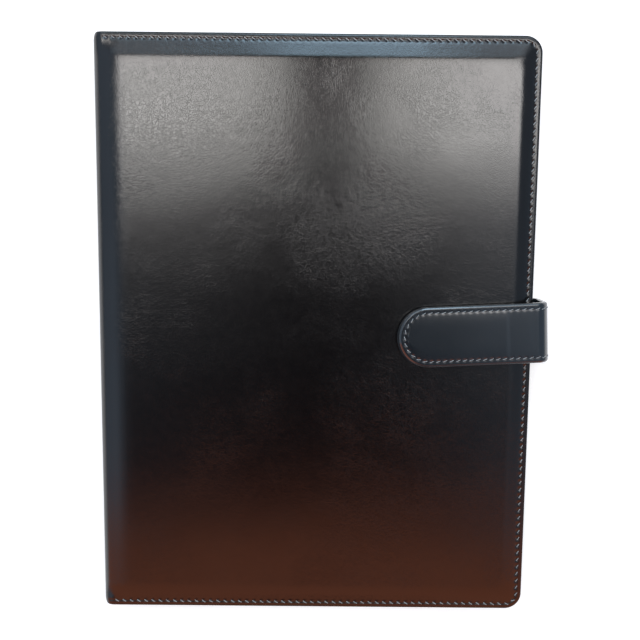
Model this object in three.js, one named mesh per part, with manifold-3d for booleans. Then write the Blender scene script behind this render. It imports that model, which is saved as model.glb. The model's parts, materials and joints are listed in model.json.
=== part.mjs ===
// A padded leather cover for an A4 writing pad, closed by a wrap-round strap with a magnetic snap.
// Units are millimetres. +Z is up: the cover lies closed on its back, with the spine along -X,
// the fore edge and strap along +X, and the top of the page along +Y. The origin is on the table,
// under the middle of the closed cover and strap.
import * as THREE from 'three';
import { mergeVertices } from 'three/addons/utils/BufferGeometryUtils.js';
import Module from 'manifold-3d';

const wasm = await Module();
wasm.setup();

// Driving dimensions
const COVER_WIDTH = 246;        // spine's outer face to fore edge
const COVER_HEIGHT = 328;
const COVER_THICKNESS = 24;     // over the padding, closed
const EDGE_RADIUS = 9.5;        // fore-edge corners
const PLATEAU_RADIUS = 6;       // corners of the padded area
const FOLD_RADIUS = 6;          // outer leather, where each cover turns into the spine
const PAD_RISE = 2;             // padding's height above the sewn margin
const SKIN = 1.2;               // outer leather
const LINING = 0.7;
const GAP = 0.1;                // between layers that lie on each other
const CUT_GAP = 0.3;            // round anything that passes through another piece

// Levels of one cover's layers, counted inward from its outer face
const FOAM_LEVELS = [SKIN + GAP, 3.4];
const BOARD_LEVELS = [3.5, 5.3];
const HEM_LEVELS = [5.4, 6.1];
const LINING_LEVELS = [6.2, 6.2 + LINING];
const HEM_WIDTH = 8;

// Strap
const STRAP_WIDTH = 34;
const STRAP_TILT = THREE.MathUtils.degToRad(3);
const STRAP_Y = 1.6;            // strap's middle where it crosses the fore edge
const STRAP_STAND_OFF = 8.5;    // strap's outer face beyond the fore edge
const STRAP_THICKNESS = 2.8;
const STRAP_BEND = 7;           // outer radius of both bends
const STRAP_ROOT = [3.6, 5.2];  // levels of the skived end sewn into the back cover
const ROOT_DEPTH = 30;
const TAB_REACH = 76;           // tip of the tab, inward from the fore edge
const TAB_TOP = COVER_THICKNESS + 6.2;
const CORE_END = 15;            // stiffener stops this far inside the fore edge
const BEND_START = STRAP_STAND_OFF - STRAP_BEND;

// Magnetic snap
const SNAP_RADIUS = 9;
const SNAP_FROM_TIP = 17;
const SOCKET_HEIGHT = 2.2;
const SOCKET_HOLE_RADIUS = 3.5;
const STUD_PIN_RADIUS = 2.5;
const LEG = { thickness: 0.6, width: 3 };
const WASHER_RADIUS = 7;

// What the cover holds
const PAPER = { width: 210, height: 297, thickness: 4 };
const PAD_LEFT = 30;            // from the spine's outer face
const PAD_BOTTOM = -COVER_HEIGHT / 2 + 10;

const STRAP_OVERHANG = STRAP_STAND_OFF * Math.cos(STRAP_TILT) + (STRAP_WIDTH / 2) * Math.sin(STRAP_TILT);
const SPINE_X = -(COVER_WIDTH + STRAP_OVERHANG) / 2;
const FORE_X = SPINE_X + COVER_WIDTH;
const SNAP_X = SNAP_FROM_TIP - TAB_REACH;
const OVERRUN = -20;            // layers are made longer at the spine, then cut there
const QUARTER = Math.PI / 2;

const COVER_BLACK = { color: 0x17171a, roughness: 0.34, metalness: 0 };
const LINING_BLACK = { color: 0x1d1d20, roughness: 0.7, metalness: 0 };
const FOAM_GREY = { color: 0x55555a, roughness: 0.95, metalness: 0 };
const BOARD_GREY = { color: 0x8d8577, roughness: 0.9, metalness: 0 };
const ELASTIC_BLACK = { color: 0x141416, roughness: 0.85, metalness: 0 };
const PAPER_WHITE = { color: 0xf1efe8, roughness: 0.9, metalness: 0 };
const CARD_BROWN = { color: 0x9a8b74, roughness: 0.9, metalness: 0 };
const TAPE_BLACK = { color: 0x222226, roughness: 0.6, metalness: 0 };
const NICKEL = { color: 0xb9bbbd, roughness: 0.25, metalness: 1 };
const MAGNET_GREY = { color: 0x3d3d40, roughness: 0.5, metalness: 0.8 };

function piece(parent, name, geometry, finish) {
  const mesh = new THREE.Mesh(geometry, new THREE.MeshStandardMaterial(finish));
  mesh.name = name;
  parent.add(mesh);
  return mesh;
}

// Booleans

function toSolid(geometry) {
  const bare = geometry.clone();
  bare.deleteAttribute('normal');
  bare.deleteAttribute('uv');
  const merged = mergeVertices(bare, 1e-4);
  const vertProperties = new Float32Array(merged.attributes.position.array);
  const triVerts = new Uint32Array(merged.index.array);
  return new wasm.Manifold(new wasm.Mesh({ numProp: 3, vertProperties, triVerts }));
}

function toGeometry(solid) {
  const mesh = solid.getMesh();
  const geometry = new THREE.BufferGeometry();
  geometry.setAttribute('position', new THREE.BufferAttribute(new Float32Array(mesh.vertProperties), 3));
  geometry.setIndex(new THREE.BufferAttribute(new Uint32Array(mesh.triVerts), 1));
  geometry.computeVertexNormals();
  return geometry;
}

function cut(geometry, ...tools) {
  let solid = toSolid(geometry);
  for (const tool of tools) {
    solid = solid.subtract(toSolid(tool));
  }
  return toGeometry(solid);
}

function join(geometry, ...others) {
  let solid = toSolid(geometry);
  for (const other of others) {
    solid = solid.add(toSolid(other));
  }
  return toGeometry(solid);
}

// Basic shapes

function slab(left, right, bottom, top, low, high) {
  const geometry = new THREE.BoxGeometry(right - left, top - bottom, high - low);
  return geometry.translate((left + right) / 2, (bottom + top) / 2, (low + high) / 2);
}

// A ring of points round a rounded rectangle, counter-clockwise from above.
function roundedRing(left, right, bottom, top, radius, z) {
  const steps = 5;
  const corners = [
    [right - radius, bottom + radius, -QUARTER],
    [right - radius, top - radius, 0],
    [left + radius, top - radius, QUARTER],
    [left + radius, bottom + radius, 2 * QUARTER],
  ];
  const points = [];
  for (const [x, y, start] of corners) {
    for (let i = 0; i <= steps; i++) {
      const angle = start + (QUARTER * i) / steps;
      points.push([x + radius * Math.cos(angle), y + radius * Math.sin(angle), z]);
    }
  }
  return points;
}

// A closed body through rings of equal length: the first ring is capped facing down,
// the last facing up.
function loft(rings) {
  const count = rings[0].length;
  const index = [];
  for (let r = 0; r + 1 < rings.length; r++) {
    for (let i = 0; i < count; i++) {
      const a = r * count + i;
      const b = r * count + ((i + 1) % count);
      index.push(a, b, b + count, a, b + count, a + count);
    }
  }
  const last = (rings.length - 1) * count;
  for (let i = 1; i + 1 < count; i++) {
    index.push(0, i + 1, i);
    index.push(last, last + i, last + i + 1);
  }
  const geometry = new THREE.BufferGeometry();
  geometry.setAttribute('position', new THREE.Float32BufferAttribute(rings.flat(2), 3));
  geometry.setIndex(index);
  geometry.computeVertexNormals();
  return geometry;
}

// A shape drawn in X and Z, extruded along Y between two values.
function extrudeAlongY(shape, from, to, curveSegments = 6) {
  const geometry = new THREE.ExtrudeGeometry(shape, { depth: to - from, bevelEnabled: false, curveSegments });
  return geometry.rotateX(QUARTER).translate(0, to, 0);
}

function extrudeUp(shape, low, high, curveSegments = 12) {
  const geometry = new THREE.ExtrudeGeometry(shape, { depth: high - low, bevelEnabled: false, curveSegments });
  return geometry.translate(0, 0, low);
}

// A quarter of a tube wall, as a sheet has where it bends.
function bentSheet(x, z, radius, thickness, start, halfLength) {
  const shape = new THREE.Shape();
  shape.absarc(x, z, radius, start, start + QUARTER, false);
  shape.absarc(x, z, radius - thickness, start + QUARTER, start, true);
  return extrudeAlongY(shape, -halfLength, halfLength);
}

function disc(radius, low, high, segments = 32) {
  const geometry = new THREE.CylinderGeometry(radius, radius, high - low, segments);
  return geometry.rotateX(QUARTER).translate(0, 0, (low + high) / 2);
}

// Covers: each layer is a list of [inset from the free edges, level, left edge from the spine's face].
// Levels count inward from the cover's outer face, so one list serves both covers.

const back = { level: (z) => z, front: false };
const front = { level: (z) => COVER_THICKNESS - z, front: true };

function coverRing(inset, left, z) {
  const radius = Math.max(EDGE_RADIUS - inset, PLATEAU_RADIUS);
  const reach = COVER_HEIGHT / 2 - inset;
  return roundedRing(SPINE_X + left, FORE_X - inset, -reach, reach, radius, z);
}

function coverLayer(side, profile, spineCut) {
  const rings = profile.map(([inset, z, left]) => coverRing(inset, left, side.level(z)));
  if (side.front) {
    rings.reverse();
  }
  const tall = COVER_HEIGHT;
  const beyond = slab(SPINE_X - 50, SPINE_X + spineCut, -tall, tall, -50, 50);
  return cut(loft(rings), beyond);
}

// The outer leather drops from the padded plateau to a flat margin, goes round the board's edge
// and is turned in over it on the three free sides.
function coverLeather(side) {
  const margin = PAD_RISE;
  const inner = PAD_RISE + SKIN;
  const [hemLow, hemHigh] = HEM_LEVELS;
  return coverLayer(side, [
    [13, 0, 12],
    [8.5, 0.7, 9],
    [5.2, margin, 7],
    [0.8, margin, OVERRUN + 0.8],
    [0, margin + 0.8, OVERRUN],
    [0, hemHigh, OVERRUN],
    [HEM_WIDTH, hemHigh, OVERRUN + HEM_WIDTH],
    [HEM_WIDTH, hemLow, OVERRUN + HEM_WIDTH],
    [SKIN, hemLow, OVERRUN + SKIN],
    [SKIN, inner, OVERRUN + SKIN],
    [5.6, inner, 7.4],
    [9, 1.9, 9.6],
    [13.4, SKIN, 12.4],
  ], FOLD_RADIUS + GAP);
}

function coverFoam(side) {
  const [low, high] = FOAM_LEVELS;
  return coverLayer(side, [[13.6, low, 12.6], [9.4, 2.1, 9.9], [6.4, high - GAP, 8], [6.4, high, 8]], 7);
}

function coverBoard(side) {
  const [low, high] = BOARD_LEVELS;
  return coverLayer(side, [[1.5, low, OVERRUN], [1.5, high, OVERRUN]], 7);
}

function coverLining(side) {
  const [low, high] = LINING_LEVELS;
  return coverLayer(side, [[1.2, low, OVERRUN], [1.2, high, OVERRUN]], FOLD_RADIUS);
}

// Inner pockets: a panel held off the lining by a folded hem on its left, right and bottom edges.
function pocket(parent, name, side, box, levels, hemWidth) {
  const { left, right, bottom, top } = box;
  const x = [SPINE_X + left, SPINE_X + right];
  const [hemLow, hemHigh, panelLow, panelHigh] = levels;
  const add = (suffix, x1, x2, y1, y2, low, high) => {
    const z = [side.level(low), side.level(high)].sort((a, b) => a - b);
    piece(parent, name + suffix, slab(x1, x2, y1, y2, z[0], z[1]), LINING_BLACK);
  };
  add('_panel', x[0], x[1], bottom, top, panelLow, panelHigh);
  add('_hem_left', x[0], x[0] + hemWidth, bottom + hemWidth + GAP, top, hemLow, hemHigh);
  add('_hem_right', x[1] - hemWidth, x[1], bottom + hemWidth + GAP, top, hemLow, hemHigh);
  add('_hem_bottom', x[0], x[1], bottom, bottom + hemWidth, hemLow, hemHigh);
}

const SLEEVE_BOX = {
  left: PAD_LEFT - 4,
  right: PAD_LEFT + PAPER.width + 4,
  bottom: PAD_BOTTOM - 4,
  top: PAD_BOTTOM + PAPER.height - 45,
};
const SLEEVE_LEVELS = [7, 8.2, 8.3, 9];
const SLEEVE_HEM = 2.5;

const DOCUMENT_BOX = { left: 22, right: 236, bottom: -156, top: 40 };
const DOCUMENT_LEVELS = [7, 7.8, 7.9, 8.6];
const DOCUMENT_HEM = 6;

// The card pockets overlap like roof tiles, each one layer nearer the pad than the one above it.
function cardPockets(parent) {
  const width = 100;
  const height = 58;
  const step = 16;
  const sheet = 0.4;
  const left = SPINE_X + DOCUMENT_BOX.left + 12;
  for (let i = 0; i < 3; i++) {
    const bottom = -140 + i * step;
    const high = COVER_THICKNESS - 8.8 - (2 - i) * 0.5;
    const shape = slab(left, left + width, bottom, bottom + height, high - sheet, high);
    piece(parent, `card_pocket_${i + 1}`, shape, LINING_BLACK);
  }
}

// A flattened loop of elastic, open at both ends, sewn to the back lining beside the spine.
const PEN_LOOP = { left: 8, width: 17, height: 6.4, wall: 0.7, low: 7, from: 22, to: 50 };

function penLoop() {
  const { left, width, height, wall, low, from, to } = PEN_LOOP;
  const middle = low + height / 2;
  const ends = [SPINE_X + left + height / 2, SPINE_X + left + width - height / 2];
  const oval = (path, radius) => {
    path.absarc(ends[1], middle, radius, -QUARTER, QUARTER, false);
    path.absarc(ends[0], middle, radius, QUARTER, 3 * QUARTER, false);
    return path;
  };
  const shape = oval(new THREE.Shape(), height / 2);
  shape.holes.push(oval(new THREE.Path(), height / 2 - wall));
  return extrudeAlongY(shape, from, to, 8);
}

// Spine and the folds on both sides of it

const SPINE_LOW = PAD_RISE + FOLD_RADIUS;
const LINING_FOLD = 2.9;
const SPINE_LINING_X = FOLD_RADIUS - GAP - LINING_FOLD;

function spine(parent) {
  const half = COVER_HEIGHT / 2;
  const low = SPINE_LOW + GAP;
  const high = COVER_THICKNESS - low;
  const boardLeft = SKIN + GAP;
  const liningLow = LINING_LEVELS[0] + LINING_FOLD + GAP;
  const upright = (from, to, bottom, top) => slab(SPINE_X + from, SPINE_X + to, -half, half, bottom, top);
  piece(parent, 'spine_leather', upright(0, SKIN, low, high), COVER_BLACK);
  piece(parent, 'spine_board', upright(boardLeft, boardLeft + 1.5, low, high), BOARD_GREY);
  const lining = upright(SPINE_LINING_X, SPINE_LINING_X + LINING, liningLow, COVER_THICKNESS - liningLow);
  piece(parent, 'spine_lining', lining, LINING_BLACK);
}

function coverFolds(parent, name, side) {
  const half = COVER_HEIGHT / 2;
  const start = side.front ? QUARTER : 2 * QUARTER;
  const x = SPINE_X + FOLD_RADIUS;
  const leather = bentSheet(x, side.level(SPINE_LOW), FOLD_RADIUS, SKIN, start, half);
  piece(parent, `${name}_fold_leather`, leather, COVER_BLACK);
  const z = side.level(LINING_LEVELS[0] + LINING_FOLD);
  const lining = bentSheet(x - GAP, z, LINING_FOLD, LINING, start, half - 1.2);
  piece(parent, `${name}_fold_lining`, lining, LINING_BLACK);
}

// Strap, drawn along its own X with the fore edge at 0, then tilted in its group

function strapStrip(from, to, low, high) {
  return slab(from, to, -STRAP_WIDTH / 2, STRAP_WIDTH / 2, low, high);
}

function strapRootSpace() {
  const half = STRAP_WIDTH / 2 + CUT_GAP;
  const [low, high] = STRAP_ROOT;
  const space = slab(-ROOT_DEPTH - CUT_GAP, 20, -half, half, low - CUT_GAP, high + 0.15);
  return space.rotateZ(STRAP_TILT).translate(FORE_X, STRAP_Y, 0);
}

function tabOutline(inset, right) {
  const half = STRAP_WIDTH / 2 - inset;
  const shape = new THREE.Shape();
  shape.moveTo(right, -half);
  shape.lineTo(right, half);
  shape.absarc(STRAP_WIDTH / 2 - TAB_REACH, 0, half, QUARTER, 3 * QUARTER, false);
  return shape;
}

const TAB_LAYERS = {
  leather: [TAB_TOP - SKIN, TAB_TOP],
  core: [TAB_TOP - 1.8, TAB_TOP - 1.3],
  lining: [TAB_TOP - STRAP_THICKNESS, TAB_TOP - 1.9],
};

function strapRoot(parent) {
  piece(parent, 'strap_root', strapStrip(-ROOT_DEPTH, BEND_START, ...STRAP_ROOT), COVER_BLACK);
}

function strapFold(parent, name, z, start) {
  const x = BEND_START + CUT_GAP;
  const bend = bentSheet(x, z, STRAP_BEND - CUT_GAP, STRAP_THICKNESS, start, STRAP_WIDTH / 2);
  piece(parent, name, bend, COVER_BLACK);
}

function strapSide(parent) {
  const low = STRAP_ROOT[0] + STRAP_BEND + CUT_GAP;
  const high = TAB_TOP - STRAP_BEND - CUT_GAP;
  const outer = STRAP_STAND_OFF;
  const inner = STRAP_STAND_OFF - STRAP_THICKNESS;
  piece(parent, 'strap_side_leather', strapStrip(outer - SKIN, outer, low, high), COVER_BLACK);
  piece(parent, 'strap_side_lining', strapStrip(inner, outer - SKIN - CUT_GAP, low, high), COVER_BLACK);
}

function tab(parent) {
  const holes = (radius) => disc(radius, TAB_TOP - 5, TAB_TOP - 1.25).translate(SNAP_X, 0, 0);
  const leather = extrudeUp(tabOutline(0, BEND_START), ...TAB_LAYERS.leather);
  const core = extrudeUp(tabOutline(2.5, -CORE_END), ...TAB_LAYERS.core);
  const lining = extrudeUp(tabOutline(0, BEND_START), ...TAB_LAYERS.lining);
  piece(parent, 'tab_leather', leather, COVER_BLACK);
  piece(parent, 'tab_core', cut(core, holes(WASHER_RADIUS + CUT_GAP)), BOARD_GREY);
  piece(parent, 'tab_lining', cut(lining, holes(RIVET_RADIUS + CUT_GAP)), COVER_BLACK);
}

// Magnetic snap: the socket is on the front cover, the stud on the tab

const RIVET_RADIUS = 1.5;
const SOCKET_LOW = COVER_THICKNESS + GAP;
const SOCKET_TOP = SOCKET_LOW + SOCKET_HEIGHT;
const WASHER_TOP = COVER_THICKNESS - BOARD_LEVELS[1] - GAP;

function lathe(points, segments = 32) {
  const profile = [...points, points[0]].map(([r, z]) => new THREE.Vector2(r, z));
  return new THREE.LatheGeometry(profile, segments).rotateX(QUARTER);
}

function legs(grow) {
  const reach = SNAP_RADIUS - LEG.thickness / 2;
  const halfWidth = LEG.width / 2 + grow;
  const halfThickness = LEG.thickness / 2 + grow;
  const low = WASHER_TOP - grow;
  const leg = (x) => slab(x - halfThickness, x + halfThickness, -halfWidth, halfWidth, low, SOCKET_TOP - 0.6);
  return [leg(-reach), leg(reach)];
}

function placedSnap(geometry) {
  return geometry.translate(SNAP_X, 0, 0).rotateZ(STRAP_TILT).translate(FORE_X, STRAP_Y, 0);
}

function snapSocket(parent) {
  const shell = lathe([
    [SOCKET_HOLE_RADIUS, SOCKET_TOP - 0.5],
    [SNAP_RADIUS - 0.6, SOCKET_TOP - 0.5],
    [SNAP_RADIUS - 0.6, SOCKET_LOW],
    [SNAP_RADIUS, SOCKET_LOW],
    [SNAP_RADIUS, SOCKET_TOP - 0.4],
    [SNAP_RADIUS - 0.4, SOCKET_TOP],
    [SOCKET_HOLE_RADIUS, SOCKET_TOP],
  ]);
  const [low, high] = [SOCKET_LOW + 0.2, SOCKET_TOP - 0.8];
  const magnet = lathe([[3.8, low], [SNAP_RADIUS - 1.2, low], [SNAP_RADIUS - 1.2, high], [3.8, high]]);
  const washer = disc(SNAP_RADIUS + 1, WASHER_TOP - 0.6, WASHER_TOP - 0.1);
  piece(parent, 'snap_socket', join(shell, ...legs(0)), NICKEL);
  piece(parent, 'snap_magnet', magnet, MAGNET_GREY);
  piece(parent, 'snap_socket_washer', washer, NICKEL);
}

function snapStud(parent) {
  const top = TAB_TOP - STRAP_THICKNESS - GAP;
  const low = top - 0.8;
  const rivetTop = TAB_LAYERS.core[0];
  const stud = lathe([
    [0, low - 1.4],
    [STUD_PIN_RADIUS - 0.4, low - 1.4],
    [STUD_PIN_RADIUS, low - 1],
    [STUD_PIN_RADIUS, low],
    [SNAP_RADIUS, low],
    [SNAP_RADIUS, top],
    [RIVET_RADIUS, top],
    [RIVET_RADIUS, rivetTop],
    [0, rivetTop],
  ]);
  piece(parent, 'snap_stud', stud, NICKEL);
  piece(parent, 'snap_stud_washer', disc(WASHER_RADIUS, rivetTop + GAP, TAB_LAYERS.core[1] - GAP / 2), NICKEL);
}

// Writing pad: its card back slides under the sleeve, its sheets lie on top

function writingPad(parent) {
  const left = SPINE_X + PAD_LEFT;
  const right = left + PAPER.width;
  const top = PAD_BOTTOM + PAPER.height;
  const seam = top - 4;
  const paperLow = 9.4;
  const paperHigh = paperLow + PAPER.thickness;
  piece(parent, 'pad_backing', slab(left, right, PAD_BOTTOM, seam, 7.3, 7.9), CARD_BROWN);
  piece(parent, 'pad_paper', slab(left, right, PAD_BOTTOM, seam, paperLow, paperHigh), PAPER_WHITE);
  piece(parent, 'pad_binding', slab(left, right, seam + GAP, top, 7.3, paperHigh), TAPE_BLACK);
}

// Assembly

const strapSpace = new THREE.Group();
strapSpace.position.set(FORE_X, STRAP_Y, 0);
strapSpace.rotation.z = STRAP_TILT;
const snapSpace = new THREE.Group();
snapSpace.position.x = SNAP_X;
strapSpace.add(snapSpace);

const backCover = new THREE.Group();
piece(backCover, 'back_leather', cut(coverLeather(back), strapRootSpace()), COVER_BLACK);
piece(backCover, 'back_foam', coverFoam(back), FOAM_GREY);
piece(backCover, 'back_board', cut(coverBoard(back), strapRootSpace()), BOARD_GREY);
piece(backCover, 'back_lining', coverLining(back), LINING_BLACK);
pocket(backCover, 'sleeve', back, SLEEVE_BOX, SLEEVE_LEVELS, SLEEVE_HEM);
piece(backCover, 'pen_loop', penLoop(), ELASTIC_BLACK);

const frontCover = new THREE.Group();
const legSlits = legs(CUT_GAP).map(placedSnap);
piece(frontCover, 'front_leather', cut(coverLeather(front), ...legSlits), COVER_BLACK);
piece(frontCover, 'front_foam', cut(coverFoam(front), ...legSlits), FOAM_GREY);
piece(frontCover, 'front_board', cut(coverBoard(front), ...legSlits), BOARD_GREY);
piece(frontCover, 'front_lining', coverLining(front), LINING_BLACK);
pocket(frontCover, 'document', front, DOCUMENT_BOX, DOCUMENT_LEVELS, DOCUMENT_HEM);
cardPockets(frontCover);

const spineStrip = new THREE.Group();
spine(spineStrip);
coverFolds(spineStrip, 'back', back);
coverFolds(spineStrip, 'front', front);

strapRoot(strapSpace);
strapFold(strapSpace, 'strap_lower_fold', STRAP_ROOT[0] + STRAP_BEND, -QUARTER);
strapSide(strapSpace);
strapFold(strapSpace, 'strap_upper_fold', TAB_TOP - STRAP_BEND, 0);
tab(strapSpace);
snapSocket(snapSpace);
snapStud(snapSpace);

const pad = new THREE.Group();
writingPad(pad);

const notebookCover = new THREE.Group();
notebookCover.add(backCover, spineStrip, frontCover, strapSpace, pad);

export default notebookCover;
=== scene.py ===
# The looks of the notebook cover: padded leather skins, linings, strap, stitches, pockets, pad and snap,
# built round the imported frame. Lengths in the mesh code are millimetres and become metres in mesh_object.
import json
import math
import bpy
import bmesh
import numpy as np
from mathutils import Matrix, Vector
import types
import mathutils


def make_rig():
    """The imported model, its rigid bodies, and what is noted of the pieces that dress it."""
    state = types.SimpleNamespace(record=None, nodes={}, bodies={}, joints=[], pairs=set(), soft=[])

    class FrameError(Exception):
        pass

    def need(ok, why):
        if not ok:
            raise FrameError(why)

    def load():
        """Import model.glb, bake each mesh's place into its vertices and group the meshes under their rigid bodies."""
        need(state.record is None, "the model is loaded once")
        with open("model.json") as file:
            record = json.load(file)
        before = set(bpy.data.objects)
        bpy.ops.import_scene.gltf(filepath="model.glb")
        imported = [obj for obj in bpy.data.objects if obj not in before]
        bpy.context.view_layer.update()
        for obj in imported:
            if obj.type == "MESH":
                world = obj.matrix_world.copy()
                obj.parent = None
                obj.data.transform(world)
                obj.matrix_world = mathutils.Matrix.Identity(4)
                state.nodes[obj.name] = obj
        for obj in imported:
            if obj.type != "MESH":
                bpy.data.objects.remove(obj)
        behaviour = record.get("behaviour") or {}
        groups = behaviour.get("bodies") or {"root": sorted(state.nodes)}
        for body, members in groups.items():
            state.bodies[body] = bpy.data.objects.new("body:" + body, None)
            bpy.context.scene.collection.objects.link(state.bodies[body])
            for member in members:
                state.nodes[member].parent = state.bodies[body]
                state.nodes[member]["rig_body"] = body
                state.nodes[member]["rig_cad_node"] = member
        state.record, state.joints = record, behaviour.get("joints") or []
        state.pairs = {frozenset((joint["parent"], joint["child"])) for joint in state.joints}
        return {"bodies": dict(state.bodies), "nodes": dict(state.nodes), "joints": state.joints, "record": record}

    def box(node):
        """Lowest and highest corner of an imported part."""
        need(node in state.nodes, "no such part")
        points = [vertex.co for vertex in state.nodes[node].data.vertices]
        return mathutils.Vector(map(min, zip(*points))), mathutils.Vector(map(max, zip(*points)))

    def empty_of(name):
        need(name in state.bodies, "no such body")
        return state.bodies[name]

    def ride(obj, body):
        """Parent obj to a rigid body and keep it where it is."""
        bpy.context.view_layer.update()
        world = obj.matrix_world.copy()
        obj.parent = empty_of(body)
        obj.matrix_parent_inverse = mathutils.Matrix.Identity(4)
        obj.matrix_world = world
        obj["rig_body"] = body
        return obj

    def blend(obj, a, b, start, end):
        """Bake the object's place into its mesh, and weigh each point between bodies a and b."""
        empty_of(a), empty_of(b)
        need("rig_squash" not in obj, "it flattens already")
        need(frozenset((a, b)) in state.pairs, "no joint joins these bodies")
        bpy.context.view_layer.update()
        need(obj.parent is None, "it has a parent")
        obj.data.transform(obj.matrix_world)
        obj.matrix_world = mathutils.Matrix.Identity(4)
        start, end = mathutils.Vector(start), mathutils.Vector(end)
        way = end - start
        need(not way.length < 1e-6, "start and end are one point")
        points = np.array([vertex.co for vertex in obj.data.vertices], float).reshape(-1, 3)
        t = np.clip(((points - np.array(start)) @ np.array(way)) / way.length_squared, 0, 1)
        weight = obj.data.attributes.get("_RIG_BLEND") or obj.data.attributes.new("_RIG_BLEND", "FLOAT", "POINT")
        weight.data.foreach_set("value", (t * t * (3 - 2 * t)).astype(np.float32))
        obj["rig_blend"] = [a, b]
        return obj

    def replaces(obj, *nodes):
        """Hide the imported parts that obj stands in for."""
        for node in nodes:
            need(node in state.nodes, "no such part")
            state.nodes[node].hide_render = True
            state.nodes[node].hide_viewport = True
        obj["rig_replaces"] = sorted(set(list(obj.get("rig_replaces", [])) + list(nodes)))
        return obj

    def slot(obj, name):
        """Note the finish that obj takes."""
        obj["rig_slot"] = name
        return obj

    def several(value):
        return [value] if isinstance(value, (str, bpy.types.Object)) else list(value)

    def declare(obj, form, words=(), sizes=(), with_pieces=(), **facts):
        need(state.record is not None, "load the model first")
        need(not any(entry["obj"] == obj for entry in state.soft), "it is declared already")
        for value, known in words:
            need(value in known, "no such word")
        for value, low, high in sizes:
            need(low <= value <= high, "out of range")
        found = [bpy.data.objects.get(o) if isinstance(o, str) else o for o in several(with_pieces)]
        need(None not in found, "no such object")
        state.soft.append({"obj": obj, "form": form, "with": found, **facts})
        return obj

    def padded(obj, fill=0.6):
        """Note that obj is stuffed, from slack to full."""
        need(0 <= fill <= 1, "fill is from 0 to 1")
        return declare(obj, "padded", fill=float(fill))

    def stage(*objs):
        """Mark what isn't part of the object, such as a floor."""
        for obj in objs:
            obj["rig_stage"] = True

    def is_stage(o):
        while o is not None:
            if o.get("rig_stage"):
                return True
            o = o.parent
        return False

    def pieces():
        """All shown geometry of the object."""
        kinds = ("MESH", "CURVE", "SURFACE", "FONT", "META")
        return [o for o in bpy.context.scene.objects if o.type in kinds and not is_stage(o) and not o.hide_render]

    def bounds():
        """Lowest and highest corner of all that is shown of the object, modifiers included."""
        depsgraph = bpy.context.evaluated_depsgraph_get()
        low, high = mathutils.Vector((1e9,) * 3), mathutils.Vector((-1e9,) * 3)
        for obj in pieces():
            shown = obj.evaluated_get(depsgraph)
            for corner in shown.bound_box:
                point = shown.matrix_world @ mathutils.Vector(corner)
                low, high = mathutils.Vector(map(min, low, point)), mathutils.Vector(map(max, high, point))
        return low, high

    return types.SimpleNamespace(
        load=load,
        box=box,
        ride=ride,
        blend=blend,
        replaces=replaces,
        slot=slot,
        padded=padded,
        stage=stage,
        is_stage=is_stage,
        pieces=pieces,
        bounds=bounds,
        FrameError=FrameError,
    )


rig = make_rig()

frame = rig.load()
CAD_BOX = [list(corner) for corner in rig.bounds()]
MM = 0.001
rng = np.random.default_rng(7)


def box(node):
    low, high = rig.box(node)
    return np.array(low) / MM, np.array(high) / MM


# ------------ sizes read from the frame

FRONT_LOW, FRONT_HIGH = box("front_leather")
FOLD_LOW, FOLD_HIGH = box("front_fold_leather")
LINING_LOW, LINING_HIGH = box("front_lining")
SPINE_X = FOLD_LOW[0]
FORE_X = FRONT_HIGH[0]
HALF = FRONT_HIGH[1]                      # half the cover's height
TOP = FRONT_HIGH[2]                       # closed thickness
FOLD = FOLD_HIGH[0] - FOLD_LOW[0]         # fold's outer radius
FOLD_X = SPINE_X + FOLD
RISE = TOP - FOLD_HIGH[2]                 # padding above the margin
HEM = TOP - FRONT_LOW[2] - RISE           # turned edge, below the margin
LINING_TOP = TOP - LINING_HIGH[2]         # lining's two faces, below the plateau
LINING_IN = TOP - LINING_LOW[2]
LINING_X = box("spine_lining")[1][0]      # its visible face in the spine
TAB_LOW, TAB_HIGH = box("tab_leather")
TAB_TOP = TAB_HIGH[2]
STRAP_THICK = TAB_TOP - box("tab_lining")[0][2]
ROOT_LOW = box("strap_root")[0][2]
JOINTS = {entry["name"]: entry for entry in frame["record"]["behaviour"]["joints"]}
AXIS = JOINTS["tab_fold"]["axis"]
PIVOT = np.array(JOINTS["tab_fold"]["pos_m"]) / MM
TILT = math.atan2(-AXIS[0], AXIS[1])      # the strap's, from square to the fore edge
STRAP_WIDTH = 34.0
STRAP_BEND = 7.0
BEND_START = 1.5                          # where the tab's flat part ends, beyond the fore edge
STRAP_Y = PIVOT[1] - (PIVOT[0] - FORE_X) * math.tan(TILT)
TAB_REACH = (FORE_X - TAB_LOW[0] - STRAP_WIDTH / 2) / math.cos(TILT) + STRAP_WIDTH / 2

# ------------ sizes of the finish

CORNER = 9.5                              # fore-edge corner radius
HEAD_CORNER = 2.6                         # spine's corners at head and tail
EDGE = 0.9                                # rounding of the turned edge
HEM_WIDTH = 8.0
SPINE_HEM = 2.9                           # the hem's depth across the spine
RING = 7.0                                # fine edge strip's width
FINE = 0.5                                # its spacing along the edge
FINE_TURN = CORNER - 3.2                  # radius at which that spacing holds round a corner
PITCH = 4.25                              # cover's stitch pitch
STITCH_INSET = 3.05
SEW_START, SEW_FADE = 3.5, 3.0            # where the seam starts before the flat part, and over what length
RIM_WIDTH = 2.6                           # outside the seam's groove
THREAD_RADIUS, LINING_THREAD = 0.26, 0.2
PRESS = 0.16                              # the seam's depth in the lining
THREAD_SINK = 0.12                        # how far the threads lie in the lining or a pocket
SLOPE_FOOT = 4.1                          # where the padding's slope starts, from the edge
PLATEAU = {"top": 14.6, "right": 12.2, "bottom": 14.0, "left": 17.0}
PLATEAU_CORNER = 6.0
SOFTNESS = {"top": 0.22, "right": 0.95, "bottom": 0.6}   # share of the slope that is rounded
CROWN = 0.35                              # the closed front's doming
GROOVE = 0.12
RIM = {"top": (0.16, 0.55), "right": (0.04, 0.45), "bottom": (0.10, 0.28)}   # rim's lean, stitches' pits
STRAP_PITCH = 3.75
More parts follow.
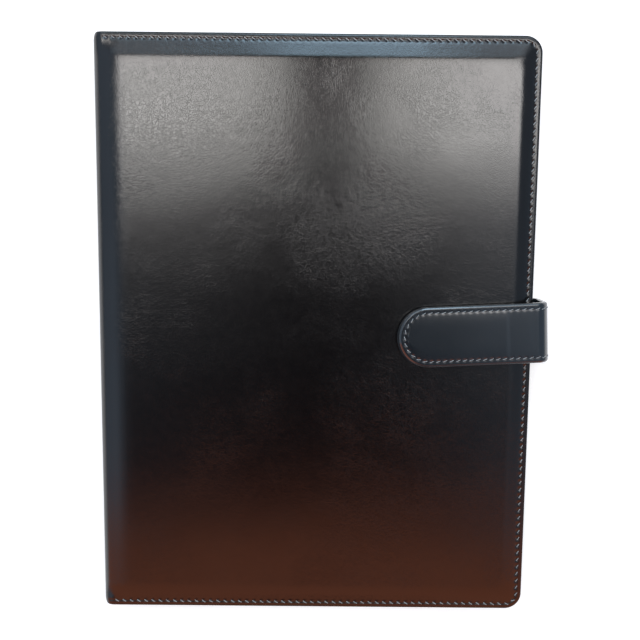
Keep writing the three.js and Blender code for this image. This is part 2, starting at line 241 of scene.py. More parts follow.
STRAP_STITCH = 3.3
SLANT = math.radians(34)                  # cover's stitches
STRAP_SLANT = math.radians(20)

# ------------ node helpers and materials


class Nodes:
    """A node tree under construction; its helpers return output sockets."""

    def __init__(self, tree):
        self.tree = tree

    def node(self, kind, inputs=None, **settings):
        made = self.tree.nodes.new(kind)
        for key, value in settings.items():
            setattr(made, key, value)
        for key, value in (inputs or {}).items():
            self.put(made.inputs[key], value)
        return made

    def put(self, socket, value):
        if isinstance(value, bpy.types.NodeSocket):
            self.tree.links.new(value, socket)
        else:
            socket.default_value = value

    def math(self, operation, a, b=0.0, clamp=False):
        return self.node("ShaderNodeMath", {0: a, 1: b}, operation=operation, use_clamp=clamp).outputs[0]

    def remap(self, value, low, high, new_low=0.0, new_high=1.0, kind="LINEAR"):
        inputs = {"Value": value, "From Min": low, "From Max": high, "To Min": new_low, "To Max": new_high}
        return self.node("ShaderNodeMapRange", inputs, interpolation_type=kind).outputs["Result"]

    def blend(self, share, first, second, mode="MIX"):
        inputs = {0: share, 6: first, 7: second}
        return self.node("ShaderNodeMix", inputs, data_type="RGBA", blend_type=mode).outputs[2]

    def ramp(self, value, stops, kind="LINEAR"):
        """A colour ramp through (position, colour) stops."""
        made = self.node("ShaderNodeValToRGB", {0: value})
        made.color_ramp.interpolation = kind
        elements = made.color_ramp.elements
        for element, (position, colour) in ((elements[-1], stops[-1]), (elements[0], stops[0])):
            element.position = position
            element.color = colour
        for position, colour in stops[1:-1]:
            elements.new(position).color = colour
        return made.outputs[0]


class Shade(Nodes):
    """A material with a Principled shader, mapped in millimetres by rest coordinates or the object's own."""

    def __init__(self, name, coordinates="rest"):
        self.material = bpy.data.materials.new(name)
        self.material.use_nodes = True
        super().__init__(self.material.node_tree)
        self.surface = self.tree.nodes["Principled BSDF"]
        if coordinates == "rest":
            self.place = self.attribute("rest_mm", "Vector")
        else:
            place = self.node("ShaderNodeTexCoord").outputs["Object"]
            self.place = self.vector("SCALE", place, scale=1 / MM)

    def attribute(self, name, output):
        return self.node("ShaderNodeAttribute", attribute_name=name).outputs[output]

    def set(self, **values):
        for key, value in values.items():
            self.put(self.surface.inputs[key.replace("_", " ").title().replace("Ior", "IOR")], value)

    def vector(self, operation, a, b=None, scale=None):
        made = self.node("ShaderNodeVectorMath", {0: a}, operation=operation)
        if b is not None:
            self.put(made.inputs[1], b)
        if scale is not None:
            made.inputs["Scale"].default_value = scale
        return made.outputs["Vector"]

    def spread(self, stretch, turn=0.0, vector=None):
        """Coordinates turned about Z and divided by a stretch along each axis."""
        mapping = self.node("ShaderNodeMapping", {"Vector": vector or self.place})
        mapping.inputs["Rotation"].default_value = (0, 0, turn)
        mapping.inputs["Scale"].default_value = [1 / s for s in stretch]
        return mapping.outputs["Vector"]

    def noise(self, size, detail=3.0, rough=0.55, vector=None):
        inputs = {"Vector": vector or self.place, "Scale": 1 / size, "Detail": detail, "Roughness": rough}
        return self.node("ShaderNodeTexNoise", inputs).outputs["Fac"]

    def cells(self, size, feature="F1", vector=None):
        inputs = {"Vector": vector or self.place, "Scale": 1 / size}
        return self.node("ShaderNodeTexVoronoi", inputs, feature=feature).outputs["Distance"]

    def waves(self, scale, vector=None, direction="X"):
        inputs = {"Vector": vector or self.place, "Scale": scale}
        return self.node("ShaderNodeTexWave", inputs, bands_direction=direction).outputs["Fac"]

    def bump(self, height, depth, normal=None):
        """A bump whose full height is depth, in millimetres."""
        made = self.node("ShaderNodeBump", {"Height": height, "Distance": depth * MM, "Strength": 1.0})
        if normal is not None:
            self.put(made.inputs["Normal"], normal)
        return made.outputs["Normal"]

    def near(self, x, y, radius):
        """1 at a place on the front cover, falling to 0 at a radius from it."""
        away = self.vector("SUBTRACT", self.place, (x, y, TOP))
        length = self.node("ShaderNodeVectorMath", {0: away}, operation="LENGTH").outputs["Value"]
        return self.remap(length, radius, radius * 0.35)


def rgb(red, green, blue):
    return (red, green, blue, 1.0)


WRINKLED = ((-88, 118, 78), (34, 60, 50))  # where the front's grain is boldest: x, y, radius
CREASED = (32, 47, 32)                    # where soft creases cross it


def leather(name, dark, light, gloss, crease=1.0, coat=0.0):
    """Smooth corrected-grain leather: fine vermicular wrinkles in patches, pores and a few soft creases."""
    shade = Shade(name)
    drift = shade.node("ShaderNodeTexNoise", {"Vector": shade.place, "Scale": 1 / 4.0, "Detail": 2.0})
    drift = drift.outputs["Color"]
    wandering = shade.vector("ADD", shade.place, shade.vector("SCALE", drift, scale=3.2))
    far = shade.vector("ADD", shade.place, shade.vector("SCALE", drift, scale=9.0))
    patches = shade.remap(shade.noise(42.0, 2.0), 0.44, 0.66, 0.32, 0.85)
    for spot in WRINKLED:
        patches = shade.math("MAXIMUM", patches, shade.near(*spot))
    worms = shade.noise(1.15, 2.0, 0.5, shade.spread((1.0, 1.3, 1.0), 0.6, wandering))
    worms = shade.remap(shade.math("ABSOLUTE", shade.math("SUBTRACT", worms, 0.5)), 0.0, 0.10)
    fine = shade.noise(0.7, 3.0, 0.6, shade.spread((1.0, 1.7, 1.0), -0.4, wandering))
    swell = shade.noise(7.0, 3.0, 0.5, wandering)
    creases = shade.remap(shade.cells(8.0, "DISTANCE_TO_EDGE", far), 0.0, 0.08)
    normal = shade.bump(shade.math("MULTIPLY", worms, patches), 0.020 * crease)
    normal = shade.bump(shade.math("MULTIPLY", fine, patches), 0.022 * crease, normal)
    normal = shade.bump(swell, 0.007 * crease, normal)
    normal = shade.bump(shade.math("MULTIPLY", creases, shade.near(*CREASED)), 0.008 * crease, normal)
    tone = shade.remap(shade.noise(26.0, 4.0), 0.35, 0.7)
    shine = shade.remap(shade.noise(5.0, 5.0), 0.3, 0.7, gloss - 0.012, gloss + 0.015)
    pressed = shade.math("MULTIPLY", shade.attribute("seam", "Fac"), 0.1)
    shade.set(base_color=shade.blend(tone, rgb(*dark), rgb(*light)), Normal=normal)
    shade.set(roughness=shade.math("ADD", shine, pressed, clamp=True), specular_ior_level=0.85)
    shade.set(coat_weight=coat, coat_roughness=0.1)
    return shade.material


def thread_material(name, colour, pale, gloss, coat):
    """Waxed twisted thread: slanting ply lines across each stitch."""
    shade = Shade(name)
    ply = shade.waves(0.55, shade.spread((1, 1, 1), 0.8))
    shade.set(base_color=shade.blend(ply, rgb(*colour), rgb(*pale)), roughness=gloss)
    shade.set(Normal=shade.bump(ply, 0.02), specular_ior_level=1.0, coat_weight=coat, coat_roughness=0.15)
    return shade.material


def lining_material(name, dark, light):
    """Fine pressed-grain lining: a small even pebble with a soft sheen."""
    shade = Shade(name)
    pebble = shade.cells(0.8, "SMOOTH_F1")
    broad = shade.noise(12.0, 3.0)
    shade.set(base_color=shade.blend(shade.remap(broad, 0.3, 0.7), rgb(*dark), rgb(*light)))
    normal = shade.bump(pebble, 0.10)
    shade.set(Normal=shade.bump(shade.noise(0.5, 2.0), 0.02, normal), sheen_weight=0.15, sheen_roughness=0.5)
    shade.set(roughness=shade.remap(pebble, 0.0, 0.6, 0.62, 0.48))
    return shade.material


def elastic_material():
    """Knitted elastic: ribs along Y crossed by fine courses."""
    shade = Shade("elastic")
    knit = shade.math("MULTIPLY", shade.waves(0.9), shade.waves(0.55, direction="Y"))
    shade.set(base_color=shade.blend(knit, rgb(0.010, 0.010, 0.011), rgb(0.035, 0.035, 0.038)))
    shade.set(roughness=0.8, Normal=shade.bump(knit, 0.25), sheen_weight=0.3, sheen_roughness=0.6)
    return shade.material


def paper_material():
    """Off-white writing paper with ruled lines on its face, and painted shade in stripes between the leaves at its
    sides.
    """
    shade = Shade("paper")
    low, high = box("pad_paper")
    paper = shade.remap(shade.noise(6.0, 3.0), 0.3, 0.7)
    paper = shade.blend(paper, rgb(0.80, 0.79, 0.745), rgb(0.86, 0.855, 0.815))
    x, y, z = shade.node("ShaderNodeSeparateXYZ", {0: shade.place}).outputs
    row = shade.math("FRACT", shade.math("DIVIDE", shade.math("ADD", y, -low[1]), 8.0))
    line = shade.math("LESS_THAN", row, 0.035)
    line = shade.math("MULTIPLY", line, shade.math("LESS_THAN", y, high[1] - 26.0))
    margin = shade.math("LESS_THAN", shade.math("ABSOLUTE", shade.math("ADD", x, -(low[0] + 24.0))), 0.14)
    up = shade.node("ShaderNodeNewGeometry").outputs["Normal"]
    up = shade.node("ShaderNodeSeparateXYZ", {0: up}).outputs[2]
    face = shade.math("GREATER_THAN", shade.math("ABSOLUTE", up), 0.7)
    inked = shade.blend(shade.math("MULTIPLY", line, face), paper, rgb(0.36, 0.47, 0.60))
    inked = shade.blend(shade.math("MULTIPLY", margin, face), inked, rgb(0.62, 0.28, 0.28))
    # painted shade: a dark stripe per leaf on the side faces, standing for shade in the gaps between leaves
    leaves = shade.math("FRACT", shade.math("MULTIPLY", z, 9.0))
    shadow = shade.math("MULTIPLY", leaves, shade.math("SUBTRACT", 1.0, face))
    shadow = shade.math("MULTIPLY", shadow, 0.4)
    shade.set(base_color=shade.blend(shadow, inked, rgb(0.45, 0.44, 0.40)), roughness=0.85)
    shade.set(Normal=shade.bump(shade.noise(0.4, 4.0), 0.02), specular_ior_level=0.3)
    return shade.material


def card_material():
    """Grey-brown recycled card with flecks."""
    shade = Shade("card")
    flecks = shade.remap(shade.noise(0.7, 2.0), 0.62, 0.72)
    broad = shade.remap(shade.noise(9.0, 4.0), 0.3, 0.7)
    board = shade.blend(broad, rgb(0.30, 0.26, 0.21), rgb(0.36, 0.32, 0.26))
    shade.set(base_color=shade.blend(flecks, board, rgb(0.16, 0.13, 0.10)), roughness=0.9)
    shade.set(Normal=shade.bump(shade.noise(0.5, 3.0), 0.04))
    return shade.material


def tape_material():
    """Black crepe binding tape."""
    shade = Shade("tape")
    crepe = shade.noise(0.8, 3.0, 0.6, shade.spread((0.5, 3.0, 1.0)))
    shade.set(base_color=shade.blend(crepe, rgb(0.010, 0.010, 0.012), rgb(0.030, 0.030, 0.034)))
    shade.set(roughness=0.55, Normal=shade.bump(crepe, 0.12))
    return shade.material


def metal_material():
    """Polished nickel with turning marks and light scuffs."""
    shade = Shade("nickel", "object")
    scuffs = shade.noise(1.5, 5.0, 0.7, shade.spread((0.3, 4.0, 1.0), 0.6))
    shade.set(base_color=shade.blend(scuffs, rgb(0.62, 0.60, 0.57), rgb(0.72, 0.70, 0.67)), metallic=1.0)
    shade.set(roughness=shade.remap(scuffs, 0.3, 0.7, 0.16, 0.30), Normal=shade.bump(scuffs, 0.006))
    return shade.material


COVER_LEATHER = leather("cover leather", (0.0018, 0.0016, 0.0020), (0.0030, 0.0028, 0.0032), 0.15)
STRAP_LEATHER = leather("strap leather", (0.0070, 0.0125, 0.0175), (0.0115, 0.0180, 0.0240), 0.17, 0.3, 0.8)
THREAD_DARK = thread_material("thread dark", (0.016, 0.017, 0.020), (0.034, 0.036, 0.040), 0.22, 1.0)
THREAD_PALE = thread_material("thread pale", (0.27, 0.30, 0.31), (0.42, 0.46, 0.475), 0.32, 0.4)
LINING = lining_material("lining", (0.014, 0.014, 0.015), (0.024, 0.024, 0.026))
POCKET = leather("pocket leather", (0.006, 0.006, 0.007), (0.011, 0.011, 0.012), 0.42, 1.6)
ELASTIC = elastic_material()
PAPER = paper_material()
CARD = card_material()
TAPE = tape_material()
METAL = metal_material()

# ------------ mesh helpers


def mesh_object(name, points, faces, smooth=50.0, seam=None):
    """A closed mesh from points in millimetres, its faces turned outward; seam marks the sewn grooves."""
    mesh = bpy.data.meshes.new(name)
    mesh.from_pydata((np.asarray(points, float) * MM).tolist(), [], [list(map(int, f)) for f in faces])
    mark = mesh.attributes.new("seam", "FLOAT", "POINT")
    if seam is not None:
        mark.data.foreach_set("value", np.asarray(seam, np.float32))
    shape = bmesh.new()
    shape.from_mesh(mesh)
    bmesh.ops.remove_doubles(shape, verts=shape.verts, dist=1e-6)
    bmesh.ops.dissolve_degenerate(shape, dist=1e-7, edges=shape.edges)
    bmesh.ops.recalc_face_normals(shape, faces=shape.faces)
    shape.to_mesh(mesh)
    shape.free()
    mesh.validate()
    mesh.shade_smooth()
    mesh.set_sharp_from_angle(angle=math.radians(smooth))
    spots = np.empty(len(mesh.vertices) * 3, np.float32)
    mesh.vertices.foreach_get("co", spots)
    rest = mesh.attributes.new("rest_mm", "FLOAT_VECTOR", "POINT")
    rest.data.foreach_set("vector", spots / MM)
    thing = bpy.data.objects.new(name, mesh)
    bpy.context.scene.collection.objects.link(thing)
    return thing


def dress(thing, material, slot, body=None, nodes=None):
    """Gives a piece its material and slot, the body it rides on and the CAD nodes it replaces."""
    thing.data.materials.append(material)
    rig.slot(thing, slot)
    if body:
        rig.ride(thing, body)
    if nodes is not None:
        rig.replaces(thing, *nodes)


def smoothstep(t):
    t = min(1.0, max(0.0, float(t)))
    return t * t * (3 - 2 * t)


def bell(distance, width):
    """1 at a distance of 0, falling off smoothly within about a width."""
    return math.exp(-(distance / width) ** 2)


def fall(u, softness):
    """Falls short by 0 at u = 0 and 1 at u = 1: a straight slope that is rounded off at its start."""
    u = min(1.0, max(0.0, u))
    steepness = 1 / (1 - softness / 2)
    return steepness * u * u / (2 * softness) if u < softness else steepness * (u - softness / 2)


def spaced(start, end, step):
    count = max(1, round(abs(end - start) / step))
    return [start + (end - start) * i / count for i in range(count + 1)]


def ripple(x, y, size, seed):
    """Gentle unevenness, from -1 to 1, of about the size given."""
    local = np.random.default_rng(seed)
    total = 0.0
    for _ in range(5):
        angle = local.uniform(0, math.pi)
        wave = size * local.uniform(0.7, 1.5)
        phase = local.uniform(0, 2 * math.pi)
        total += math.sin((x * math.cos(angle) + y * math.sin(angle)) * 2 * math.pi / wave + phase)
    return total / 5


def ring_faces(rings, count, closed=False):
    """Faces between successive rings of count points; closed joins the last ring to the first."""
    faces = []
    for n in range(rings if closed else rings - 1):
        here, there = n * count, (n + 1) % rings * count
        pairs = [(k, (k + 1) % count) for k in range(count)]
        faces += [(here + k, here + m, there + m, there + k) for k, m in pairs]
    return faces


def end_caps(rings, count):
    return [list(range(count))[::-1], list(range((rings - 1) * count, rings * count))]


def tube(points, radius, sides):
    """Rings of points round a line that is given with a radius for each point, closed at its ends."""
    points = np.asarray(points, float)
    tangent = np.gradient(points, axis=0)
    tangent /= np.linalg.norm(tangent, axis=1)[:, None]
    up = np.array([0.0, 0.0, 1.0])
    if abs(tangent[len(points) // 2] @ up) > 0.9:
        up = np.array([0.0, 1.0, 0.0])
    side = np.cross(tangent, up)
    side /= np.linalg.norm(side, axis=1)[:, None]
    over = np.cross(side, tangent)
    turns = np.arange(sides) * 2 * math.pi / sides
    rings = [p + r * (np.outer(np.cos(turns), a) + np.outer(np.sin(turns), b))
             for p, r, a, b in zip(points, radius, side, over)]
    return np.concatenate(rings), ring_faces(len(points), sides) + end_caps(len(points), sides)


class Collected:
    """Many small closed pieces gathered in one mesh."""

    def __init__(self):
        self.points, self.faces, self.count = [], [], 0

    def add(self, points, faces):
        self.points.append(np.asarray(points, float))
        self.faces.extend([[i + self.count for i in f] for f in faces])
        self.count += len(points)

    def object(self, name, smooth=50.0):
        return mesh_object(name, np.concatenate(self.points), self.faces, smooth)


STITCH_STEPS = (-0.5, -0.44, -0.3, -0.1, 0.1, 0.3, 0.44, 0.5)   # shares of its length
THREAD_SIDES = 6


def stitch(collected, centre, along, up, length, radius, slant, sink=0.55, across=None):
    """One thread from hole to hole: it lies slanting on the leather and dives in at both ends."""
    across = np.cross(up, along) if across is None else across
    wobble = rng.normal(0, 0.04, 2)
    line, radii = [], []
    for step in STITCH_STEPS:
        height = radius * 0.75 - sink * max(0.0, (abs(step) - 0.3) / 0.2) ** 2 + wobble[1] * 0.5
        off = step * length
        line.append(centre + along * off + across * (math.tan(slant) * off + wobble[0]) + up * height)
        radii.append(radius * (1.0 if abs(step) < 0.45 else 0.7))
    collected.add(*tube(line, radii, THREAD_SIDES))


# ------------ cover skins
# The leather of one cover runs from the middle of the spine, round the fold and across the cover.
# Points are (x, y, depth), with depth counted inward from the cover's outer face.

SPINE_RUN = TOP / 2 - RISE - FOLD
FOLD_RUN = FOLD * math.pi / 2
FLAT_START = SPINE_RUN + FOLD_RUN
SHOULDER_END = FLAT_START + PLATEAU["left"] - FOLD
X_CENTRE = FORE_X - CORNER
Y_CENTRE = HALF - CORNER
QUARTER = math.pi / 4
INTO = np.array([0.0, 0.0, 1.0])          # inward on the flat part
SHARES = (1 / 3, 2 / 3, 1.0)              # of the corner's quarter, where the coarse grid turns it
# the coarse grid's first steps, from the fore edge and from the fold
NEAR_CORNER = (CORNER, 10.3, 11.2, 12.2, 13.3, 14.6, 16.5, 19.5)
NEAR_FOLD = (0, 0.7, 1.4, 2.2, 3.1, 4.1, 5.2, 6.4, 8.0, 10.5)
# the edge strip's rows: insets over the slope's foot, the seam and the rim
OUTER_ROWS = (6.2, 5.5, 4.9, 4.5, 4.1, 3.75, 3.4, 3.05, 2.7, 2.35, 2.0, 1.65, 1.3, EDGE)


def skin_path(s):
    """(x, depth) and inward normal at a distance s from the spine's middle, at the sewn edge's level."""
    if s <= SPINE_RUN:
        return SPINE_X, TOP / 2 - s, 1.0, 0.0
    if s < FLAT_START:
        a = (s - SPINE_RUN) / FOLD
        return SPINE_X + FOLD * (1 - math.cos(a)), RISE + FOLD * (1 - math.sin(a)), math.cos(a), math.sin(a)
    return FOLD_X + s - FLAT_START, RISE, 0.0, 1.0


def shoulder(s):
    """(x, depth) on the padded shoulder, a quarter of an ellipse from the spine's face up to the plateau."""
    a = min(1.0, max(0.0, (s - SPINE_RUN) / (SHOULDER_END - SPINE_RUN))) * math.pi / 2
    return SPINE_X + PLATEAU["left"] * (1 - math.cos(a)), (RISE + FOLD) * (1 - math.sin(a))


def head_end(x):
    """The cover's half height at x: its spine corners are rounded."""
    off = max(0.0, HEAD_CORNER - (x - SPINE_X))
    return HALF - HEAD_CORNER + math.sqrt(max(0.0, HEAD_CORNER ** 2 - off ** 2))


class Station:
    """A place along the sewn edge: its outline point, the ways inward, and what the edge is like there.

    A "run" station is at a distance s along the head or tail, an "arc" one at an angle round a fore-edge
    corner, and a "fore" one at a height y; side is 1 towards the head and -1 towards the tail.
    """

    def __init__(self, kind, value, side):
        self.kind, self.value = kind, value
        self.fade, self.hem, self.down = 1.0, HEM, INTO
        edge = RIM["top" if side > 0 else "bottom"]
        self.lean, self.pit = RIM["right"] if kind == "fore" else edge
        if kind == "run":
            x, depth, nx, nd = skin_path(value)
            self.origin = np.array([x, side * head_end(x), depth])
            self.inward = np.array([0.0, -side, 0.0])
            self.down = np.array([nx, 0.0, nd])
            self.fade = smoothstep((value - FLAT_START + SEW_START) / SEW_FADE)
            self.hem = SPINE_HEM + (HEM - SPINE_HEM) * smoothstep((value - SPINE_RUN) / FOLD_RUN)
        elif kind == "fore":
            self.origin = np.array([FORE_X, value, RISE])
            self.inward = np.array([-1.0, 0.0, 0.0])
        else:
            out = np.array([math.cos(value), side * math.sin(value), 0.0])
            self.lean, self.pit = (out[0] ** 2 * a + out[1] ** 2 * b for a, b in zip(RIM["right"], edge))
            self.origin = np.array([X_CENTRE, side * Y_CENTRE, RISE]) + CORNER * out
            self.inward = -out

    def at(self, inset, depth):
        return self.origin + inset * self.inward + depth * self.down

    def padded(self, inset, depth, crown):
        """The point at an inset, lifted by the padding and then sunk by a depth."""
        beside_spine = self.kind == "run" and self.value < SHOULDER_END
        spot = lifted(self.at(inset, 0), self.value if beside_spine else None, crown)
        return spot + depth * self.down

    def groove_depth(self, inset, run):
        """The groove along the stitch line, a pit under each stitch, and the domed rim outside."""
        off = inset - STITCH_INSET
        rim = self.lean * max(0.0, RIM_WIDTH - inset) + 0.10 * max(0.0, 1 - inset / 1.5) ** 2
        nearest = (run / PITCH - math.floor(run / PITCH) - 0.5) * PITCH
        valley = GROOVE * bell(off, 0.6 if off > 0 else 0.3)
        pit = self.pit * bell(nearest, 1.1) * bell(off, 1.0 if off > 0 else 0.4)
        return rim + (valley + pit) * self.fade


def foot_reach(way_x, way_y, side_y):
    """How far the slope's foot lies from the plateau's corner centre, in the direction given."""
    far_x = PLATEAU["right"] + PLATEAU_CORNER - SLOPE_FOOT
    far_y = PLATEAU[side_y] + PLATEAU_CORNER - SLOPE_FOOT
    turn = CORNER - SLOPE_FOOT
    onward = way_x * (far_x - turn) + way_y * (far_y - turn)
    room = onward ** 2 - (far_x - turn) ** 2 - (far_y - turn) ** 2 + turn ** 2
    if room > 0:
        arc = onward + math.sqrt(room)
        if arc * way_x > far_x - turn and arc * way_y > far_y - turn:
            return arc
    return min(far_x / max(way_x, 1e-9), far_y / max(way_y, 1e-9))


def slope_short(x, y):
    """How far below the plateau (x, y) lies, as a share of the rise; the spine side isn't counted."""
    side_y = "top" if y > 0 else "bottom"
    over_x = max(0.0, PLATEAU["right"] + PLATEAU_CORNER - (FORE_X - x))
    over_y = max(0.0, PLATEAU[side_y] + PLATEAU_CORNER - (HALF - abs(y)))
    reach = math.hypot(over_x, over_y)
    if reach <= PLATEAU_CORNER:
        return 0.0
    way_x, way_y = over_x / reach, over_y / reach
    softness = way_x ** 2 * SOFTNESS["right"] + way_y ** 2 * SOFTNESS[side_y]
    return fall((reach - PLATEAU_CORNER) / (foot_reach(way_x, way_y, side_y) - PLATEAU_CORNER), softness)


def crowning(x, y, crown):
    """The doming of a padded cover, with a little unevenness."""
    if not crown:
        return 0.0
    u = (x - (SPINE_X + FORE_X) / 2) / ((FORE_X - SPINE_X) / 2)
    dome = max(0.0, 1 - abs(u) ** 2.5) * max(0.0, 1 - abs(y / HALF) ** 2.5)
    return crown * dome + 0.05 * ripple(x, y, 60, 3)


def lifted(spot, s, crown):
    """A point at the sewn edge's level, moved onto the padding; beside the spine, s says where it is."""
    x, y, depth = spot
    if s is None:
        full = 1 - slope_short(x, y)
        return np.array([x, y, depth - RISE * full - full * crowning(x, y, crown)])
    x, depth = shoulder(s)
    full = 1 - slope_short(SPINE_X + PLATEAU["left"] + PLATEAU_CORNER, y)
    near = max(0.0, (s - SPINE_RUN) / (SHOULDER_END - SPINE_RUN))
    moved = spot + full * (np.array([x, y, depth]) - spot)
    return moved - INTO * full * near * crowning(x, y, crown)


def hem_rows(hem, start):
    """(inset, depth) pairs that take the leather round the edge and under as a hem."""
    turns = [math.radians(a) for a in (30, 60, 90)]
    rows = [(EDGE * (1 - math.sin(a)), start + EDGE * (1 - math.cos(a))) for a in turns]
    rows.append((0.0, (start + hem) / 2))
    turns = [math.radians(a) for a in (0, 45, 90)]
    rows += [(EDGE * (1 - math.cos(a)), hem - EDGE * (1 - math.sin(a))) for a in turns]
    return rows + [(HEM_WIDTH / 2, hem), (HEM_WIDTH, hem)]


def coarse_steps():
    """Coarse steps in s along the head, and in y along the fore edge."""
    x_to_s = FLAT_START - FOLD_X
    run = spaced(0, SPINE_RUN, 1.4)[:-1] + spaced(SPINE_RUN, FLAT_START, 1.3)[:-1]
    run += [FLAT_START + d for d in NEAR_FOLD]
    run += spaced(run[-1], FORE_X - NEAR_CORNER[-1] + x_to_s, 4.0)[1:]
    run += [FORE_X - d + x_to_s for d in NEAR_CORNER[-2::-1]]
    ys = [HALF - d for d in NEAR_CORNER]
    ys = ys[:-1] + spaced(ys[-1], -ys[-1], 4.0) + [-y for y in ys[-2::-1]]
    return run, ys


def grid_point(column, row):
    """An interior point at the sewn edge's level; corner steps map a square onto a quarter disc."""
    (column_kind, along), (row_kind, up) = column, row
    if column_kind == "run":
        x, depth, _, _ = skin_path(along)
        y = up if row_kind == "fore" else math.copysign(Y_CENTRE, up) + up
        return np.array([x, y * (head_end(x) - RING) / (HALF - RING), depth])
    if row_kind == "fore":
        return np.array([X_CENTRE + along, up, RISE])
    p, q = along, abs(up)
    reach = max(p, q)
    a = QUARTER * q / p if p >= q else 2 * QUARTER - QUARTER * p / q
    y = math.copysign(Y_CENTRE + reach * math.sin(a), up)
    return np.array([X_CENTRE + reach * math.cos(a), y, RISE])


def interior(run, ys, crown):
    """The padded points inside the fine edge strip, column by column, and the number of rows."""
    corner = [(CORNER - RING) * share for share in SHARES]
    columns = [("run", s) for s in run] + [("arc", c) for c in corner]
    rows = [("arc", c) for c in corner[::-1]] + [("fore", y) for y in ys] + [("arc", -c) for c in corner]
    points = []
    for kind, value in columns:
        s = value if kind == "run" and value < SHOULDER_END else None
        points += [lifted(grid_point((kind, value), row), s, crown) for row in rows]
    return points, len(rows)


def coarse_ring(run, ys, columns, rows):
    """(kind, value, side, grid point) round the free edges, from the spine's head end to its tail end."""
    count = len(SHARES)
    corner = [(QUARTER * (2 - share), len(run) + n, 0) for n, share in enumerate(SHARES)]
    corner += [(QUARTER * SHARES[n - 1], columns - 1, count - n) for n in range(count - 1, 0, -1)]
    ring = [("run", s, 1, i * rows) for i, s in enumerate(run)]
    ring += [("arc", a, 1, i * rows + j) for a, i, j in corner]
    ring += [("fore", y, 1, (columns - 1) * rows + count + n) for n, y in enumerate(ys)]
    ring += [("arc", a, -1, i * rows + rows - 1 - j) for a, i, j in corner[::-1]]
    return ring + [("run", s, -1, i * rows + rows - 1) for i, s in reversed(list(enumerate(run)))]


def fine_stations(ring):
    """Close stations between the coarse ring's, each with its distance along, and where each step starts."""
    corner_start = {"run": 2 * QUARTER, "fore": 0.0}
    fine, breaks, length = [], [0], 0.0
    for (kind, start, side, _), (next_kind, end, next_side, _) in zip(ring, ring[1:]):
        span = abs(end - start)
        if "arc" in (kind, next_kind):
            side = side if kind == "arc" else next_side
            start, end = corner_start.get(kind, start), corner_start.get(next_kind, end)
            kind = "arc"
            span = abs(end - start) * FINE_TURN
        steps = max(1, round(span / FINE))
        for k in range(steps):
            fine.append((Station(kind, start + (end - start) * k / steps, side), length + span * k / steps))
        breaks.append(len(fine))
        length += span
    fine.append((Station("run", ring[-1][1], -1), length))
    return fine, breaks


def build_skin(name, crown):
    """One cover's leather as a closed mesh, and the fine stations along its free edges."""
    run, ys = coarse_steps()
    points, rows = interior(run, ys, crown)
    columns = len(points) // rows
    ring = coarse_ring(run, ys, columns, rows)
    fine, breaks = fine_stations(ring)
    seam = [0.0] * len(points)
    strip = []
    for station, along in fine:
        line = [station.padded(inset, station.groove_depth(inset, along), crown) for inset in OUTER_ROWS]
        turned = hem_rows(station.hem, station.groove_depth(EDGE, along))
        line += [station.at(inset, depth) for inset, depth in turned]
        strip.append(range(len(points), len(points) + len(line)))
        points += line
        seam += [bell(inset - STITCH_INSET, 0.9) * station.fade for inset in OUTER_ROWS]
        seam += [0.0] * len(turned)
    faces = [(n, n + rows, n + rows + 1, n + 1) for n in range((columns - 1) * rows) if (n + 1) % rows]
    for a, b in zip(strip, strip[1:]):
        faces += [(a[k], a[k + 1], b[k + 1], b[k]) for k in range(len(a) - 1)]
    for (*_, here), (*_, there), first, last in zip(ring, ring[1:], breaks, breaks[1:]):
        faces += fan(strip, here, there, first, last)
    faces += underside(strip, fine)
    faces.append(list(range(rows)) + list(strip[-1]) + list(strip[0])[::-1])
    points = np.array(points)
    if crown:
        points[:, 2] = TOP - points[:, 2]
    return mesh_object(name, points, faces, 60, seam), fine


def fan(strip, here, there, first, last):
    """Joins a step of the coarse grid, from here to there, to the strip's fine steps beside it."""
    middle = (first + last) // 2
    faces = [(here, strip[k][0], strip[k + 1][0]) for k in range(first, middle)]
    faces.append((here, strip[middle][0], there))
    return faces + [(there, strip[k][0], strip[k + 1][0]) for k in range(middle, last)]


def underside(strip, fine):
    """Strips across the spine and the fold, and one flat face under the rest."""
    flat = next(k for k, (station, _) in enumerate(fine) if station.value >= FLAT_START - 1e-6)
    rim = [line[-1] for line in strip]
    faces = [(rim[k], rim[k + 1], rim[-k - 2], rim[-k - 1]) for k in range(flat)]
    return faces + [rim[flat:len(rim) - flat]]


def sew_cover(name, fine, crown, inside):
    """The row of stitches along the free edges of one cover, on its outside or on its lining."""
    runs = [along for _, along in fine]
    sewn = [along for station, along in fine if station.fade > 0.55]
    threads = Collected()
    number = math.ceil(sewn[0] / PITCH)
    while (number + 0.5) * PITCH < sewn[-1]:
        run = (number + 0.5) * PITCH
        k = int(np.searchsorted(runs, run))
        station, onward = fine[k][0], fine[min(k + 1, len(fine) - 1)][0]
        spot = station.at(STITCH_INSET, 0)
        along = onward.at(STITCH_INSET, 0) - spot
        along /= np.linalg.norm(along)
        spot = spot + along * (run - runs[k])
        if inside:
            spot[2] = LINING_IN - THREAD_SINK
        else:
            spot[2] = station.padded(STITCH_INSET, GROOVE + station.pit * 0.6, crown)[2]
        up, radius = (INTO, LINING_THREAD) if inside else (-INTO, THREAD_RADIUS)
        stitch(threads, spot, along, up, PITCH * 0.56, radius, SLANT, across=station.inward)
        number += 1
    if crown:
        for points in threads.points:
            points[:, 2] = TOP - points[:, 2]
    return threads.object(name)


